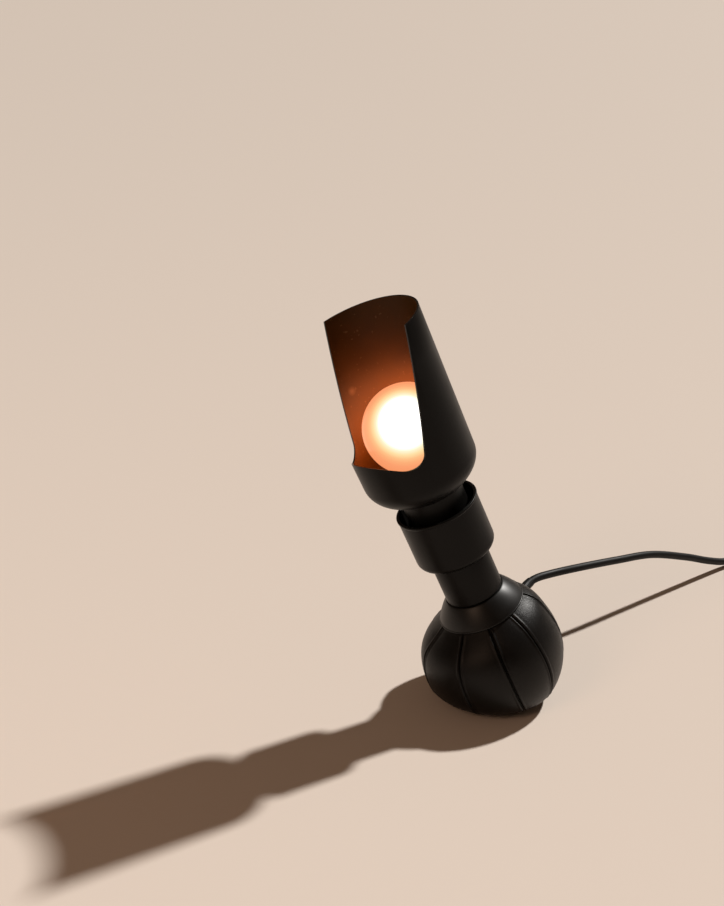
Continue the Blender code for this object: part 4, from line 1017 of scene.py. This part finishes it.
def make_stem():
    """Sleeve between collar and cup, open at the top."""
    top, floor, bore = STEM_BASE + STEM_HEIGHT, STEM_BASE + STEM_WALL, STEM_RADIUS - STEM_WALL
    outline = rounded([(TUBE_HOLE, STEM_BASE, 0), (STEM_RADIUS, STEM_BASE, STEM_FILLET),
                       (STEM_RADIUS, top, RIM_FILLET), (bore, top, 0), (bore, floor, 0),
                       (TUBE_HOLE, floor, 0)])
    replace_rigid(lathe("stem_sleeve", outline, 128, STAND), "stem", "stand", PAINT)


def make_cup():
    """Open cup with a rolled rim."""
    top, floor, inner = CUP_BASE + CUP_HEIGHT, CUP_BASE + CUP_WALL, CUP_RADIUS - CUP_WALL
    rim = CUP_RADIUS + CUP_BEAD
    outline = rounded([(TUBE_HOLE, CUP_BASE, 0), (CUP_RADIUS, CUP_BASE, CUP_FILLET),
                       (CUP_RADIUS, top - BEAD_START, BEAD_START_FILLET),
                       (rim, top - BEAD_LOW, CUP_BEAD), (rim, top, CUP_BEAD),
                       (inner, top, RIM_FILLET),
                       (inner, floor, CUP_FILLET - CUP_WALL), (TUBE_HOLE, floor, 0)], 6)
    replace_rigid(lathe("open_cup", outline, 144, STAND), "cup", "stand", PAINT)


def reflector_side(shift, height, fillet):
    """One side of the shell's outline, from its hole up to its rim."""
    neck, bowl, deep = NECK_RADIUS - shift, BOWL_RADIUS - shift, BOWL_DEPTH - shift
    rim = RIM_RADIUS - shift
    side = [(TUBE_HOLE, height, 0), (neck, height, fillet)]
    lowest = math.acos(neck / bowl)
    for step in range(BOWL_STEPS + 1):
        angle = lowest * (1 - step / BOWL_STEPS)
        side.append((bowl * math.cos(angle), BOWL_TOP - deep * math.sin(angle), 0))
    for share in (0.25, 0.5, 0.75, 1):
        side.append((bowl + (rim - bowl) * share, BOWL_TOP + (RIM_TOP - BOWL_TOP) * share, 0))
    return side


def opening_cutter():
    """Prism that cuts the slanted opening, with a round corner at its foot."""
    low, slope, far = NECK_BASE + CUT_CORNER_RISE, CUT_SLOPE_SHARE, CUT_REACH
    crossing_height = NECK_BASE + CUT_CROSSING_RISE
    high = RIM_TOP + BOWL_RADIUS
    corner = slope * (crossing_height - low)
    shape = rounded([(slope * (crossing_height - high), high, 0),
                     (corner, low, CUT_CORNER_FILLET),
                     (far, low + CUT_FLOOR_SHARE * (far - corner), 0), (far, high, 0)], 16)
    bm = bmesh.new()
    ends = [[bm.verts.new((x, y, z)) for x, z in shape] for y in (-far, far)]
    bridge(bm, *ends)
    for end in ends:
        bm.faces.new(end)
    turn = Matrix.Rotation(math.radians(OPENING_DEGREES), 4, "Z")
    return link("cutter", finish_mesh(bm, "cutter", 0), turn)


def paint_shell(mesh):
    """Paint outside, inside paint with a painted warm glow of the bulb, and glossier paint on the
    cut edges.
    """
    mesh.materials.clear()
    for material in (PAINT, INNER, EDGE):
        mesh.materials.append(material)
    for polygon in mesh.polygons:
        polygon.use_smooth = True
        centre, normal = polygon.center, polygon.normal
        radius = math.hypot(centre.x, centre.y)
        outwards = (normal.x * centre.x + normal.y * centre.y) / radius
        if centre.z > BOWL_TOP + SHELL_WALL and abs(outwards) < 0.75:
            polygon.material_index = 2
        elif outwards < -0.2 or (centre.z < BOWL_TOP and normal.z > 0.5):
            polygon.material_index = 1


def make_reflector():
    """Spun shell with its opening cut and every cut edge broken."""
    outside = reflector_side(0, NECK_BASE, NECK_FILLET)
    inside = reflector_side(SHELL_WALL, NECK_BASE + SHELL_WALL, NECK_FILLET - SHELL_WALL)
    piece = lathe("spun_reflector", rounded(outside + inside[::-1]), 160, None, 0)
    cutter = opening_cutter()
    modifier = piece.modifiers.new("opening", "BOOLEAN")
    modifier.object = cutter
    modifier.operation = "DIFFERENCE"
    modifier.solver = "EXACT"
    bevel = piece.modifiers.new("lip", "BEVEL")
    bevel.width = LIP_BEVEL
    bevel.segments = 3
    bevel.limit_method = "ANGLE"
    bevel.angle_limit = math.radians(50)
    bevel.harden_normals = False
    mesh = applied(piece)
    bpy.data.objects.remove(cutter, do_unlink=True)
    paint_shell(mesh)
    mesh.set_sharp_from_angle(angle=math.radians(35))
    mesh.transform(STAND)
    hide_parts("reflector")
    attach(piece, "shade")


def glass_side(shift):
    """One side of the glass: a curved neck from the mouth, then round up to the top."""
    radius, mouth = BULB_RADIUS - shift, BULB_MOUTH_RADIUS - shift
    end = (radius * math.sin(BULB_TANGENT), BULB_CENTRE + radius * math.cos(BULB_TANGENT))
    slope = (math.cos(math.pi - BULB_TANGENT), -math.sin(math.pi - BULB_TANGENT))
    first_handle = (mouth, GLASS_BASE + NECK_REACH)
    last_handle = (end[0] - BALL_REACH * abs(slope[0]), end[1] - BALL_REACH * abs(slope[1]))
    points = ((mouth, GLASS_BASE), first_handle, last_handle, end)
    found = []
    for step in range(NECK_STEPS + 1):
        t = step / NECK_STEPS
        weights = ((1 - t) ** 3, 3 * t * (1 - t) ** 2, 3 * t * t * (1 - t), t**3)
        found.append(tuple(sum(w * p[i] for w, p in zip(weights, points)) for i in (0, 1)))
    for step in range(1, BALL_STEPS):
        angle = BULB_TANGENT * (1 - step / BALL_STEPS)
        found.append((radius * math.sin(angle), BULB_CENTRE + radius * math.cos(angle)))
    found.append((0, BULB_CENTRE + radius))
    return found


def make_bulb():
    """Round opal glass with its neck."""
    outline = glass_side(0) + glass_side(BULB_WALL)[::-1]
    replace_rigid(lathe("opal_bulb", outline, 96, HOLDER, 60), "bulb_glass", "stand", OPAL)


make_collar()
make_stem()
make_cup()
make_reflector()
make_bulb()


# Floor, lights and world
def make_stage():
    """Plain pale floor that takes the shadow."""
    mesh = bpy.data.meshes.new("floor")
    half = FLOOR_HALF
    mesh.from_pydata([(-half, -half, 0), (half, -half, 0), (half, half, 0), (-half, half, 0)],
                     [], [(0, 1, 2, 3)])
    floor = link("floor", mesh)
    floor.data.materials.append(new_material("pale_floor", FLOOR_COLOUR, 0.8)[0])
    floor.location.z = -FLOOR_DROP


def make_key():
    """Soft sun from behind on the right, as the shadow in the photograph asks."""
    key = bpy.data.lights.new("key", "SUN")
    key.energy = KEY_ENERGY
    key.angle = KEY_ANGLE
    key.color = KEY_COLOUR
    lamp = bpy.data.objects.new("key", key)
    flat = math.cos(KEY_UP)
    to_key = Vector((flat * math.cos(KEY_AROUND), flat * math.sin(KEY_AROUND), math.sin(KEY_UP)))
    lamp.rotation_euler = to_key.to_track_quat("Z", "Y").to_euler()
    bpy.context.scene.collection.objects.link(lamp)


def make_fill():
    """Weak warm light from the left, for the long highlights."""
    data = bpy.data.lights.new("fill", "AREA")
    data.shape = "DISK"
    data.size = FILL_SIZE
    data.energy = FILL_POWER
    data.color = FILL_COLOUR
    lamp = bpy.data.objects.new("fill", data)
    lamp.location = FILL_PLACE
    lamp.rotation_euler = (FILL_TARGET - FILL_PLACE).to_track_quat("-Z", "Y").to_euler()
    bpy.context.scene.collection.objects.link(lamp)


def make_world():
    """Warm dim room for the light, and a pale backdrop beyond the floor."""
    world = bpy.data.worlds.new("world")
    bpy.context.scene.world = world
    world.use_nodes = True
    tree = world.node_tree
    light = tree.nodes["Background"]
    light.inputs["Color"].default_value = (*ROOM_COLOUR, 1)
    light.inputs["Strength"].default_value = ROOM_STRENGTH
    backdrop = tree.nodes.new("ShaderNodeBackground")
    backdrop.inputs["Color"].default_value = (*BACKDROP_COLOUR, 1)
    backdrop.inputs["Strength"].default_value = 1.0
    seen = tree.nodes.new("ShaderNodeLightPath")
    choice = tree.nodes.new("ShaderNodeMixShader")
    tree.links.new(seen.outputs["Is Camera Ray"], choice.inputs["Fac"])
    tree.links.new(light.outputs["Background"], choice.inputs[1])
    tree.links.new(backdrop.outputs["Background"], choice.inputs[2])
    tree.links.new(choice.outputs["Shader"], tree.nodes["World Output"].inputs["Surface"])


make_stage()
make_key()
make_fill()
make_world()
bpy.context.scene.view_settings.view_transform = "Standard"

bpy.context.view_layer.update()
